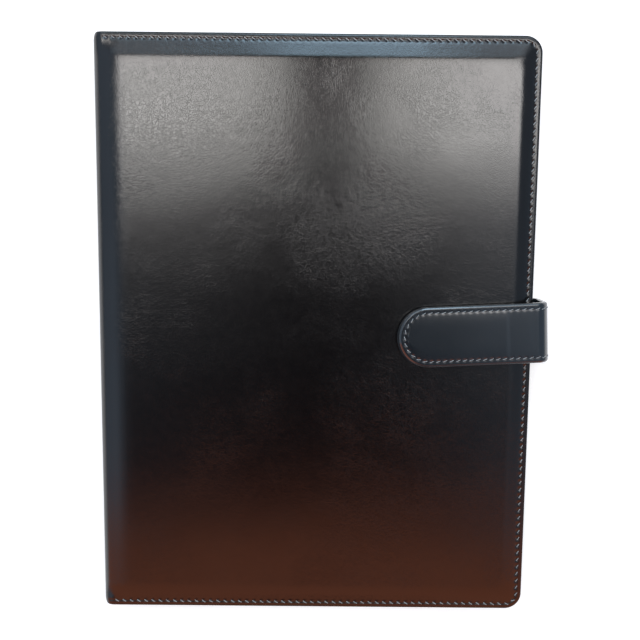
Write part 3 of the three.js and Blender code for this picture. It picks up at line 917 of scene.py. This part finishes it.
skin_front, edge_front = build_skin("skin_front", CROWN)
skin_back, edge_back = build_skin("skin_back", 0.0)
FRONT_SPINE, FRONT_EDGE = (SPINE_X * MM, 0, (TOP - RISE - FOLD) * MM), (FOLD_X * MM, 0, (TOP - RISE) * MM)
BACK_EDGE, BACK_SPINE = (FOLD_X * MM, 0, RISE * MM), (SPINE_X * MM, 0, (RISE + FOLD) * MM)
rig.blend(skin_front, "spine", "front", start=FRONT_SPINE, end=FRONT_EDGE)
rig.blend(skin_back, "back", "spine", start=BACK_EDGE, end=BACK_SPINE)
dress(skin_front, COVER_LEATHER, "cover_leather", nodes=(
    "front_leather", "front_foam", "front_board", "front_fold_leather", "spine_leather", "spine_board"))
dress(skin_back, COVER_LEATHER, "cover_leather", nodes=(
    "back_leather", "back_foam", "back_board", "back_fold_leather"))
for skin in (skin_front, skin_back):
    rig.padded(skin, fill=0.9)
for body, fine, crown in (("front", edge_front, CROWN), ("back", edge_back, 0.0)):
    for place, thread in (("outside", THREAD_PALE), ("inside", THREAD_DARK)):
        threads = sew_cover(f"stitches_{body}_{place}", fine, crown, place == "inside")
        dress(threads, thread, "thread", body)

# ------------ strap
# It is measured along its path from the middle of the side: upward to the tab's tip, downward to its root.

SIDE_X = STRAP_BEND + BEND_START
MID_Z = (TAB_TOP + ROOT_LOW) / 2
STRAIGHT = TAB_TOP - STRAP_BEND - MID_Z
TAB_START = STRAIGHT + STRAP_BEND * math.pi / 2
TAB_END = TAB_START + BEND_START + TAB_REACH
ROOT_REACH = 30.0                         # what runs on inside the back cover
ROOT_END = TAB_START + BEND_START + ROOT_REACH
HALF_WIDTH = STRAP_WIDTH / 2
SEAM_REACH = HALF_WIDTH - STRAP_STITCH
LAYER = STRAP_THICK * 0.62                # where the cover and the facing meet
OVERHANG = 0.9                            # the facing's, beyond the cover at the tip
STRAP_FINE = 0.6
STRAP_GROOVE = 0.10
STRAP_THREAD = 0.215
CARD_START = 14.0                         # the stiffener's end, from the fore edge
CARD_CROWN, SOFT_CROWN = 0.09, 0.04
# insets over the seam, then the rim's (inset, drop) pairs, then shares of the width between the seams
STRAP_INSETS = (5.2, 4.6, 4.1, 3.7, 3.3, 2.9, 2.4, 1.9, 1.5, 1.25)
STRAP_RIM = ((1.13, 0.0), (1.04, 0.045), (0.5, 0.36), (0.42, 0.41), (0.22, 0.6), (0.07, 0.83), (0.0, 1.05))
CHORD = (0.75, 0.5, 0.25, 0.0, -0.25, -0.5, -0.75)


def strap_path(s):
    """Outer face's (x, z) and inward normal at s, in the strap's own plane."""
    run, way = abs(s), math.copysign(1, s)
    if run <= STRAIGHT:
        x, rise, nx, nz = SIDE_X, run, -1.0, 0.0
    elif run < TAB_START:
        a = (run - STRAIGHT) / STRAP_BEND
        x, rise = BEND_START + STRAP_BEND * math.cos(a), STRAIGHT + STRAP_BEND * math.sin(a)
        nx, nz = -math.cos(a), -math.sin(a)
    else:
        x, rise, nx, nz = BEND_START - (run - TAB_START), STRAIGHT + STRAP_BEND, 0.0, -1.0
    return x, MID_Z + way * rise, nx, way * nz


def strap_point(s, v, depth):
    """The point at s along, v across and a depth below the strap's outer face."""
    x, z, nx, nz = strap_path(s)
    x, z = x + depth * nx, z + depth * nz
    return np.array([FORE_X + x * math.cos(TILT) - v * math.sin(TILT),
                     STRAP_Y + x * math.sin(TILT) + v * math.cos(TILT), z])


def strap_lift(s, inset):
    """The stiffener's crown on the tab, up to the low ridge where it ends by the bend."""
    if s <= 0:
        return 0.0
    card = smoothstep((-strap_path(s)[0] - CARD_START) / 2.0) if s > TAB_START else 0.0
    soft = smoothstep((s - TAB_START) / 6)
    return smoothstep((inset - STRAP_STITCH + 0.4) / 5.0) * (soft * SOFT_CROWN + card * CARD_CROWN)


def strap_stations(start, stop, tip):
    """(s, turn) along a layer's edge; with a tip, the edge then turns through a quarter round it."""
    if tip is None:
        return [(s, 0.0) for s in spaced(start, stop, STRAP_FINE)]
    last = tip - HALF_WIDTH
    steps = round(HALF_WIDTH * math.pi / 2 / STRAP_FINE)
    turns = [(last, k / steps * math.pi / 2) for k in range(1, steps + 1)]
    return [(s, 0.0) for s in spaced(start, last, STRAP_FINE)] + turns


def strap_spot(station, inset):
    """(s, v) at an inset from the edge."""
    s, turn = station
    reach = HALF_WIDTH - inset
    return s + reach * math.sin(turn), reach * math.cos(turn)


def band_edge(station, travelled, side, face, back, crown, rim_size):
    """Points from the seam's inner side, over the groove and the rim, to the layer's other face."""
    way = 1 if back > face else -1
    near = (travelled / STRAP_PITCH - math.floor(travelled / STRAP_PITCH) - 0.5) * STRAP_PITCH
    under = bell(near, 0.9)
    line = []
    for inset in STRAP_INSETS:
        s, v = strap_spot(station, inset)
        sink = STRAP_GROOVE * bell(inset - STRAP_STITCH, 0.5 + 0.4 * under) * (0.35 + under)
        rim = 0.05 * max(0, 1 - inset / 2.0)
        line.append(strap_point(s, side * v, face + way * (sink + rim - crown * strap_lift(s, inset))))
    for inset, drop in STRAP_RIM:
        s, v = strap_spot(station, inset * rim_size)
        line.append(strap_point(s, side * v, face + way * (drop * rim_size + 0.03)))
    s, v = strap_spot(station, 0.0)
    return line + [strap_point(s, side * v, back)]


def band(name, start, stop, face, back, tip=None, crown=1, rim_size=1.0):
    """One layer of the strap from start to stop; its finished face is at depth face, the other at back."""
    way = 1 if back > face else -1
    stations = strap_stations(start, stop, tip)
    rings = []
    travelled = 0.0
    for n, station in enumerate(stations):
        before = stations[max(n - 1, 0)]
        travelled += math.dist(strap_spot(station, STRAP_STITCH), strap_spot(before, STRAP_STITCH))
        upper, lower = (band_edge(station, travelled, side, face, back, crown, rim_size) for side in (1, -1))
        s, v = strap_spot(station, STRAP_INSETS[0])
        lifts = [crown * strap_lift(s, HALF_WIDTH - abs(v * share)) for share in CHORD]
        middle = [strap_point(s, v * share, face - way * lift) for share, lift in zip(CHORD, lifts)]
        rings.append(upper[:1] + middle + lower + upper[:0:-1])
    count = len(rings[0])
    caps = end_caps(len(rings), count)
    faces = ring_faces(len(rings), count) + (caps if tip is None else caps[:1])
    return mesh_object(name, np.concatenate(rings), faces, 55)


def sew_strap(name, start, stop, face, way, tip=None):
    """Slanting, nearly touching stitches along both edges, and round the tip where there is one."""
    threads = Collected()
    last = stop if tip is None else tip - HALF_WIDTH
    straight = last - start
    total = straight if tip is None else 2 * straight + SEAM_REACH * math.pi
    count = round(total / STRAP_PITCH)
    for side in ((1, -1) if tip is None else (1,)):
        for k in range(count):
            d = (k + 0.5) * total / count
            turn = min(max((d - straight) / SEAM_REACH, 0.0), math.pi)
            back = max(0.0, d - straight - SEAM_REACH * math.pi)
            s = start + min(d, straight) - back + SEAM_REACH * math.sin(turn)
            v = side * SEAM_REACH * math.cos(turn)
            ahead = (s + math.cos(turn) * 0.5, v - math.sin(turn) * 0.5)
            centre = strap_point(s, v, face + way * 0.05)
            along = strap_point(*ahead, face + way * 0.05) - centre
            up = strap_point(s, v, face - way * 0.5) - strap_point(s, v, face)
            along, up = along / np.linalg.norm(along), up / np.linalg.norm(up)
            stitch(threads, centre, along, up, total / count * 0.68, STRAP_THREAD, STRAP_SLANT)
    return threads.object(name)


def strap_joint(lower, upper, first, last):
    start, end = (tuple(c * MM for c in strap_point(s, 0, 0)) for s in (first, last))
    return (lower, upper), {"start": start, "end": end}


TAB_BEND = strap_joint("strap_side", "tab", STRAIGHT, TAB_START)
ROOT_BEND = strap_joint("back", "strap_side", -TAB_START, -STRAIGHT)
FACING = {"crown": 0, "rim_size": 0.5}
for (bodies, ends), part, nodes in (
        (TAB_BEND, band("tab_cover", 0.0, None, 0.0, LAYER - 0.1, TAB_END),
         ("tab_leather", "strap_side_leather", "strap_upper_fold", "tab_core")),
        (TAB_BEND, band("tab_facing", 0.0, None, STRAP_THICK, LAYER, TAB_END + OVERHANG, **FACING),
         ("tab_lining", "strap_side_lining")),
        (ROOT_BEND, band("strap_cover", -ROOT_END, 0.0, 0.0, LAYER - 0.1),
         ("strap_root", "strap_lower_fold")),
        (ROOT_BEND, band("strap_facing", -TAB_START - BEND_START, 0.0, STRAP_THICK, LAYER, **FACING), ())):
    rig.blend(part, *bodies, **ends)
    dress(part, STRAP_LEATHER, "strap_leather", nodes=nodes)
for name, (bodies, ends), start, stop, tip in (("stitches_tab", TAB_BEND, 0.4, None, TAB_END),
                                               ("stitches_strap", ROOT_BEND, -TAB_START, -0.4, None)):
    for ending, face, way in (("", 0.0, 1), ("_inside", STRAP_THICK, -1)):
        threads = sew_strap(name + ending, start, stop, face, way, tip)
        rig.blend(threads, *bodies, **ends)
        dress(threads, THREAD_PALE, "thread")

# ------------ inside: linings, pockets, sleeve, pen loop

LINING_EDGE = 1.2                         # from the cover's edge to the lining's
LINING_CORNER = 8.3
LINING_BEND = 2.2                         # its radius in the gutter
LINING_RUN = TOP / 2 - LINING_IN - LINING_BEND
LINING_FLAT = LINING_RUN + LINING_BEND * math.pi / 2
# distances from an edge at which a sheet's grid has its closer lines
EDGE_STEPS = (0.0, 0.12, 0.35, 0.7, 1.1, 1.6, 2.1, 2.6, 3.2, 4.0, 5.2, 7.0, 9.0)
POCKET_PITCH = 3.2
POCKET_SLANT = math.radians(12)
POCKET_INSET = 2.0                        # a pocket's seam, from its edge
MOUTH_SEAM = 4.2                          # the seam along its open edge


def graded(low, high, step):
    """Positions from low to high, close together near both ends."""
    near = [s for s in EDGE_STEPS if s < (high - low) / 2 - 0.5]
    inner = spaced(low + near[-1], high - near[-1], step)
    return np.array([low + s for s in near[:-1]] + inner + [high - s for s in near[-2::-1]])


def sandwich(xs, ys, place):
    """Points and faces of a closed sheet over a grid; place gives a point's two faces."""
    pairs = np.array([place(x, y) for x in xs for y in ys])
    rows, columns = len(xs), len(ys)
    offset = rows * columns
    number = np.arange(offset).reshape(rows, columns)
    faces = []
    for i in range(rows - 1):
        for j in range(columns - 1):
            a, b, c, d = number[i, j], number[i + 1, j], number[i + 1, j + 1], number[i, j + 1]
            faces += [(a, b, c, d), (d + offset, c + offset, b + offset, a + offset)]
    border = list(number[0, :]) + list(number[1:, -1]) + list(number[-1, -2::-1]) + list(number[-2:0:-1, 0])
    faces += [(b, a, a + offset, b + offset) for a, b in zip(border, border[1:] + border[:1])]
    return np.concatenate([pairs[:, 0], pairs[:, 1]]), faces


def lining_path(s):
    """The lining's visible face: up the spine, round the gutter and across the cover; (x, depth), normal."""
    if s < LINING_RUN:
        return LINING_X, TOP / 2 - s, 1.0, 0.0
    if s < LINING_FLAT:
        a = (s - LINING_RUN) / LINING_BEND
        depth = LINING_IN + LINING_BEND * (1 - math.sin(a))
        return LINING_X + LINING_BEND * (1 - math.cos(a)), depth, math.cos(a), math.sin(a)
    return LINING_X + LINING_BEND + s - LINING_FLAT, LINING_IN, 0.0, 1.0


def build_lining(name, front):
    """One closed sheet of lining, with the stitch line pressed into its border."""
    half = HALF - LINING_EDGE
    thick = LINING_IN - LINING_TOP
    end = FORE_X - LINING_EDGE - LINING_X - LINING_BEND + LINING_FLAT

    def place(s, share):
        x, depth, nx, nd = lining_path(s)
        over = max(0.0, x - (FORE_X - LINING_EDGE - LINING_CORNER))
        y = share * (half - LINING_CORNER + math.sqrt(max(0.0, LINING_CORNER ** 2 - over ** 2)))
        inset = min(FORE_X - x, HALF - abs(y)) if x > FOLD_X else HALF - abs(y)
        swell = 0.07 * ripple(x, y, 45, 11 if front else 12) * min(1.0, max(0.0, inset - 4) / 8)
        edge = 0.3 * max(0.0, 1 - (inset - LINING_EDGE) / 0.5) ** 2
        inner = min(0.0, swell) - PRESS * bell(inset - STITCH_INSET, 0.6) - edge
        faces = [(x + nx * shift, y, depth + nd * shift) for shift in (inner, -thick)]
        return [(x, y, TOP - depth) for x, y, depth in faces] if front else faces

    along = list(np.linspace(0, LINING_FLAT, 12))[:-1] + list(graded(LINING_FLAT, end, 6.0))
    return mesh_object(name, *sandwich(along, graded(-half, half, 6.0) / half, place), 50)


def panel(name, low, high, level, up, rise, thick, seed):
    """A pocket's sheet: sewn down on three sides, standing off the lining, with a rolled open edge."""

    def place(x, y):
        sewn = (x - low[0], high[0] - x, y - low[1])
        open_side = high[1] - y
        lift = math.prod(smoothstep((side - 2.4) / 5.5) for side in sewn)
        rolled = max(0.0, 1 - min(*sewn, open_side) / 0.45)
        body = thick * (math.sqrt(max(0.0, 1 - rolled ** 2)) * 0.5 + 0.5)
        body += 0.3 * smoothstep((5.2 - open_side) / 0.8) * smoothstep((open_side + 0.1) / 0.5)
        body -= 0.18 * bell(min(sewn) - POCKET_INSET, 0.5)
        base = lift * (rise + 0.06 * ripple(x, y, 38, seed)) + 0.03
        return (x, y, level + up * (base + body)), (x, y, level + up * base)

    xs, ys = graded(low[0], high[0], 5.0), graded(low[1], high[1], 5.0)
    return mesh_object(name, *sandwich(xs, ys, place), 50)


def sew_line(threads, corners, up, pitch=POCKET_PITCH, radius=LINING_THREAD):
    """Stitches along a line through corners, on a face that looks up or down."""
    for a, b in zip(corners, corners[1:]):
        a, b = np.array(a, float), np.array(b, float)
        length = np.linalg.norm(b - a)
        along = (b - a) / length
        count = max(1, round(length / pitch))
        for k in range(count):
            centre = a + along * (k + 0.5) * length / count
            stitch(threads, centre, along, up * INTO, length / count * 0.72, radius, POCKET_SLANT, 0.4)


def sewn_pocket(name, nodes, body, level, up, rise, thick, seed):
    """A pocket's panel and its stitches, in the place of its CAD nodes."""
    low = np.min([box(node)[0] for node in nodes], axis=0)
    high = np.max([box(node)[1] for node in nodes], axis=0)
    dress(panel(name, low, high, level, up, rise, thick, seed), POCKET, "lining", body, nodes)
    threads = Collected()
    x0, x1, y0 = low[0] + POCKET_INSET, high[0] - POCKET_INSET, low[1] + POCKET_INSET
    y1, mouth = high[1] - 0.8, high[1] - MOUTH_SEAM
    height, top = level + up * (thick - THREAD_SINK), level + up * (rise + thick + 0.2)
    sew_line(threads, [(x0, y1, height), (x0, y0, height), (x1, y0, height), (x1, y1, height)], up)
    sew_line(threads, [(x0 + 7, mouth, top), (x1 - 7, mouth, top)], up)
    dress(threads.object("stitches_" + name), THREAD_DARK, "thread", body)


def stadium(width, height, grow, count=10):
    """Points of a flat oval outline, grown outward by grow."""
    radius = height / 2 + grow
    straight = width / 2 - height / 2
    outline = []
    for sign in (1, -1):
        turns = [(k / count - 0.5) * math.pi for k in range(count + 1)]
        half = [(straight + radius * math.cos(a), radius * math.sin(a)) for a in turns]
        half += [(straight * (1 - 2 * k / count), radius) for k in range(1, count)]
        outline += [(sign * x, sign * y) for x, y in half]
    return np.array(outline)


def pen_loop():
    """A ribbed elastic loop, open along Y, with rounded selvedges."""
    low, high = box("pen_loop")
    width, length, height = high - low
    centre = (low + high) / 2
    outer, inner = stadium(width, height, 0.0), stadium(width, height, -0.7)
    selvedge = [(0.35, 0.0), (0.1, 0.08), (0.0, 0.35)]
    ribs = [(0.06 * (k % 2), 0.7 + k * 0.45) for k in range(int((length - 1.4) / 0.45))]
    stations = selvedge + ribs + [(share, length - y) for share, y in selvedge[::-1]]
    stations += [(1 - share, y) for share, y in stations[::-1]]
    rings = [[(centre[0] + a, low[1] + y, centre[2] + b) for a, b in outer * (1 - share) + inner * share]
             for share, y in stations]
    faces = ring_faces(len(rings), len(outer), closed=True)
    loop = mesh_object("elastic_pen_loop", np.concatenate(rings), faces, 60)
    dress(loop, ELASTIC, "elastic", "back", ("pen_loop",))
    threads = Collected()
    for x in (low[0] + 4.2, high[0] - 4.2):
        sew_line(threads, [(x, y, low[2] + 0.68) for y in (low[1] + 1.5, high[1] - 1.5)], 1, 2.6, 0.18)
    dress(threads.object("stitches_pen_loop"), THREAD_DARK, "thread", "back")


lining_front = build_lining("lining_front", True)
lining_back = build_lining("lining_back", False)
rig.blend(lining_front, "spine", "front", start=FRONT_SPINE, end=FRONT_EDGE)
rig.blend(lining_back, "back", "spine", start=BACK_EDGE, end=BACK_SPINE)
dress(lining_front, LINING, "lining", nodes=("front_lining", "front_fold_lining", "spine_lining"))
dress(lining_back, LINING, "lining", nodes=("back_lining", "back_fold_lining"))
for name, family, body, level, up, rise, seed in (
        ("document_pocket", "document", "front", TOP - LINING_IN, -1, 1.0, 21),
        ("pad_sleeve", "sleeve", "back", LINING_IN, 1, 1.3, 41)):
    nodes = [family + part for part in ("_panel", "_hem_left", "_hem_right", "_hem_bottom")]
    sewn_pocket(name, nodes, body, level, up, rise, 0.7, seed)
    if family == "document":
        for number in (3, 2, 1):
            face = box("document_panel")[0][2] - 0.5 * (3 - number)
            nodes = [f"card_pocket_{number}"]
            sewn_pocket(f"card_slot_{number}", nodes, body, face, up, 0.12, 0.36, 30 + number)
pen_loop()

# ------------ writing pad


def leaves():
    """The pad's leaves, in small bundles that don't quite line up."""
    low, high = box("pad_paper")
    bundles = 10
    block = Collected()
    thick = (high[2] - low[2]) / bundles
    for k in range(bundles):
        shift = abs(rng.normal(0, 0.08, 4))
        xs = spaced(low[0] + 0.2 + shift[0], high[0] - 0.2 - shift[1], 30)
        ys = spaced(low[1] + 0.2 + shift[2], high[1], 30)
        z = low[2] + k * thick
        block.add(*sandwich(xs, ys, lambda x, y: ((x, y, z + thick - 0.02), (x, y, z + 0.02))))
    dress(block.object("pad_leaves", 30), PAPER, "paper", "pad", ("pad_paper",))


def card_back():
    """The pad's card, its edges a little rounded."""
    low, high = box("pad_backing")

    def place(x, y):
        edge = 0.12 * max(0.0, 1 - min(x - low[0], high[0] - x, y - low[1], high[1] - y) / 0.3)
        return (x, y, high[2] - edge), (x, y, low[2] + edge)

    xs, ys = graded(low[0], high[0], 20), graded(low[1], high[1], 20)
    card = mesh_object("pad_card_back", *sandwich(xs, ys, place), 40)
    dress(card, CARD, "pad_card", "pad", ("pad_backing",))


def head_tape():
    """The tape round the pad's head, from its underside over the leaves."""
    low, high = box("pad_binding")
    (left, start, under), (right, head, over) = low, high
    lap = start - 9.0
    outline = [(start, under), (head - 0.8, under), (head - 0.2, under + 0.2), (head, under + 0.8)]
    outline += [(head, over - 0.8), (head - 0.2, over + 0.02), (head - 0.8, over + 0.22), (lap, over + 0.22)]
    outline += [(lap, over + 0.04), (start + 0.05, over + 0.04), (start + 0.05, under + 0.1)]
    xs = spaced(left, right, 10.0)
    points = [(x, y + 0.03 * math.sin(x * 0.9), z) for x in xs for y, z in outline]
    faces = ring_faces(len(xs), len(outline)) + end_caps(len(xs), len(outline))
    dress(mesh_object("pad_tape_head", points, faces, 40), TAPE, "pad_tape", "pad", ("pad_binding",))


leaves()
card_back()
head_tape()

# ------------ magnetic snap


def turned(name, centre, profile, body, nodes):
    """A turned metal piece from (radius, height) pairs that close on themselves or end on the axis."""
    count = 64
    points = []
    for radius, height in profile:
        for k in range(count):
            a = 2 * math.pi * k / count
            points.append((centre[0] + radius * math.cos(a), centre[1] + radius * math.sin(a), height))
    faces = ring_faces(len(profile), count, closed=profile[0][0] > 0)
    dress(mesh_object(name, points, faces, 35), METAL, "snap_metal", body, nodes)


def rounded_corner(radius, height, size, start, steps=4):
    """Points round a convex corner of a turned profile, whose arc's centre is (radius, height)."""
    turns = [math.radians(start + 90 * k / steps) for k in range(steps + 1)]
    return [(radius + size * math.cos(a), height + size * math.sin(a)) for a in turns]


def snap():
    """The socket and its magnet on the cover, and the stud on the tab's facing."""
    low, high = box("snap_magnet")
    centre = (low + high) / 2
    socket_low, socket_high = box("snap_socket")
    rim, top = (socket_high[0] - socket_low[0]) / 2, socket_high[2]
    base = TOP + 0.38
    cup = [(3.6, base), (rim - 0.3, base)] + rounded_corner(rim - 0.7, top - 1.0, 0.7, -30, 2)
    cup += rounded_corner(rim - 1.2, top - 0.45, 0.45, 0)[2:]
    cup += [(5.6, top), (5.2, top - 0.18), (4.6, top - 0.18), (4.2, top)]
    cup += rounded_corner(3.9, top - 0.3, 0.3, 90) + [(3.6, top - 0.4)]
    turned("snap_cup", centre, cup, "front", ["snap_socket", "snap_magnet"])
    low, high = box("snap_stud")
    rim, pin = (high[0] - low[0]) / 2, low[2]
    base = TAB_TOP - STRAP_THICK + 0.05
    disc = [(0.0, pin), (1.9, pin)] + rounded_corner(1.9, pin + 0.5, 0.5, -90) + [(2.2, pin + 1.0)]
    disc += [(2.5, base - 0.75), (5.4, base - 0.75), (5.8, base - 0.6), (6.4, base - 0.6)]
    disc += [(6.8, base - 0.75)]
    disc += rounded_corner(rim - 0.5, base - 0.3, 0.45, -90) + [(rim - 0.05, base), (0.0, base)]
    turned("snap_pin_disc", centre, disc, "tab", ["snap_stud"])


snap()
for node in ("snap_socket_washer", "snap_stud_washer"):
    part = frame["nodes"][node]
    part.data.materials.clear()
    part.data.materials.append(METAL)

# ------------ studio

COOL, COOL_EDGE = (0.63, 0.79, 1.0), rgb(0.24, 0.31, 0.40)
# the world's levels, as (direction's x or y, level)
SIDES = ((-0.9, 0.9), (-0.62, 1.0), (-0.16, 0.09), (0.0, 0.02), (0.10, 0.05), (0.28, 0.55), (0.50, 0.50),
         (0.75, 0.5))
CEILING = ((-0.27, 0.0), (-0.19, 0.02), (-0.146, 0.05), (-0.10, 0.11), (-0.055, 0.24), (-0.01, 0.70),
           (0.03, 1.85), (0.08, 2.7), (0.15, 2.4), (0.22, 0.5), (0.40, 0.5), (0.60, 0.4), (0.72, 0.1),
           (0.9, 0.05))
ASIDE = ((0.0, 0.05), (0.07, 0.35), (0.15, 1.0), (0.32, 1.0), (0.42, 0.0), (1.0, 0.0))
WARM = rgb(0.95, 0.31, 0.165)
TAIL_END, FAR_END = (-0.32, -0.37), (-0.90, -0.865)   # where the warm part starts and ends, as y
WARM_DIFFUSE = 0.2                        # how much of it lights the object
FACE_CENTRE = Vector(((SPINE_X + FORE_X) / 2 * MM, 0, TOP * MM))


def lamp(name, centre, size, radiance, colour, aim):
    """A rectangular soft light of an even radiance."""
    data = bpy.data.lights.new(name, "AREA")
    data.shape = "RECTANGLE"
    data.size, data.size_y = size
    data.energy = radiance * math.pi * size[0] * size[1]
    data.color = colour
    light = bpy.data.objects.new(name, data)
    light.location = centre
    light.rotation_euler = (Vector(centre) - Vector(aim)).to_track_quat("Z", "Y").to_euler()
    bpy.context.scene.collection.objects.link(light)


def lamps():
    """Two soft boxes overhead towards the head of the cover, and a bluish panel and window beyond it."""
    for name, x, width, radiance in (("key left", -0.265, 0.38, 4.7), ("key right", 0.268, 0.35, 4.15)):
        lamp(name, (x, 0.375, TOP * MM + 1.0), (width, 0.45), radiance, (1.0, 0.97, 0.94), (x, 0.375, 0))
    head = (0, HALF * MM, 0)
    lamp("sky panel", (0.0, 0.98, 0.90), (1.5, 0.42), 1.3, (0.66, 0.84, 1.0), head)
    lamp("window", (0.05, 0.92, 0.84), (0.34, 0.40), 4.2, (0.55, 0.80, 1.0), head)


def graded_stops(levels, tint, start=-1.0):
    """Ramp stops for levels along an axis that runs from start to 1."""
    return [((x - start) / (1 - start), rgb(*(level * t for t in tint))) for x, level in levels]


def room():
    """The world: bluish at the sides, warm towards the tail, dim overhead, with a white backdrop low down."""
    world = bpy.data.worlds.new("room")
    bpy.context.scene.world = world
    world.use_nodes = True
    nodes = Nodes(world.node_tree)
    place = nodes.node("ShaderNodeTexCoord").outputs["Generated"]
    x, y, z = nodes.node("ShaderNodeSeparateXYZ", {0: place}).outputs
    sides = graded_stops(SIDES, [0.67 * tint for tint in COOL])
    sides = nodes.ramp(nodes.remap(x, -1.0, 1.0), [(0.0, COOL_EDGE)] + sides + [(1.0, COOL_EDGE)], "EASE")
    ceiling = nodes.ramp(nodes.remap(y, -1.0, 1.0), graded_stops(CEILING, (1.0, 0.97, 0.96)))
    aside = nodes.ramp(nodes.math("ABSOLUTE", x), graded_stops(ASIDE, (1.0, 1.0, 1.0), 0.0))
    overhead = nodes.blend(1.0, sides, nodes.blend(1.0, ceiling, aside, "MULTIPLY"), "ADD")
    rays = nodes.node("ShaderNodeLightPath").outputs
    tail, far = (nodes.remap(y, *ends, kind="SMOOTHSTEP") for ends in (TAIL_END, FAR_END))
    plain = nodes.remap(rays["Is Diffuse Ray"], 0.0, 1.0, 1.0, WARM_DIFFUSE)
    glow = nodes.math("MULTIPLY", nodes.math("MULTIPLY", tail, far), plain)
    back = world.node_tree.nodes["Background"]
    nodes.put(back.inputs["Color"], nodes.blend(glow, overhead, WARM))
    white = nodes.node("ShaderNodeBackground", {"Color": rgb(1, 1, 1)})
    low = nodes.remap(z, 0.18, 0.08, kind="SMOOTHSTEP")
    shown = nodes.math("ADD", rays["Is Camera Ray"], nodes.math("MULTIPLY", rays["Is Glossy Ray"], low))
    shown = nodes.math("ADD", shown, rays["Is Transmission Ray"], clamp=True)
    mix = nodes.node("ShaderNodeMixShader", {"Fac": shown, 1: back.outputs[0], 2: white.outputs[0]})
    nodes.put(world.node_tree.nodes["World Output"].inputs["Surface"], mix.outputs[0])


def floor():
    """A pale floor, white to the camera, that keeps a soft shadow."""
    mesh = bpy.data.meshes.new("floor")
    reach = 6.0
    corners = [(x * reach, y * reach, 0) for x, y in ((-1, -1), (1, -1), (1, 1), (-1, 1))]
    mesh.from_pydata(corners, [], [(0, 1, 2, 3)])
    ground = bpy.data.objects.new("floor", mesh)
    ground.location.z = -0.0006
    bpy.context.scene.collection.objects.link(ground)
    shade = Shade("floor", "object")
    shade.set(base_color=rgb(0.8, 0.8, 0.8), roughness=0.9, specular_ior_level=0.0)
    rays = shade.node("ShaderNodeLightPath").outputs
    path = shade.math("ADD", rays["Is Camera Ray"], rays["Is Glossy Ray"])
    path = shade.math("ADD", path, rays["Is Transmission Ray"], clamp=True)
    dim, glow = (shade.node("ShaderNodeEmission", {"Color": rgb(1, 1, 1), "Strength": strength}).outputs[0]
                 for strength in (0.0, 0.62))
    lift = shade.node("ShaderNodeMixShader", {"Fac": path, 1: dim, 2: glow}).outputs[0]
    total = shade.node("ShaderNodeAddShader", {0: shade.surface.outputs[0], 1: lift}).outputs[0]
    shade.put(shade.tree.nodes["Material Output"].inputs["Surface"], total)
    mesh.materials.append(shade.material)
    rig.stage(ground)


def photographer():
    """The camera that sees the cover as the photo does, from almost straight above."""
    camera = bpy.data.objects.new("camera", bpy.data.cameras.new("camera"))
    bpy.context.scene.collection.objects.link(camera)
    camera.data.sensor_width = 36
    camera.data.lens = 900 / 640 * 36
    matrix = Matrix.Translation((FACE_CENTRE.x + 0.0017, 0.0729, 0.5267))
    for axis, degrees in (("Y", -0.138), ("X", -7.453), ("Z", 0.581)):
        matrix = matrix @ Matrix.Rotation(math.radians(degrees), 4, axis)
    camera.matrix_world = matrix
    bpy.context.scene.camera = camera


lamps()
room()
floor()
photographer()
bpy.context.scene.view_settings.view_transform = "Standard"

with open("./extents.json", "w") as sizes:
    json.dump({"cad": CAD_BOX, "visual": [list(corner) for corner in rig.bounds()]}, sizes)
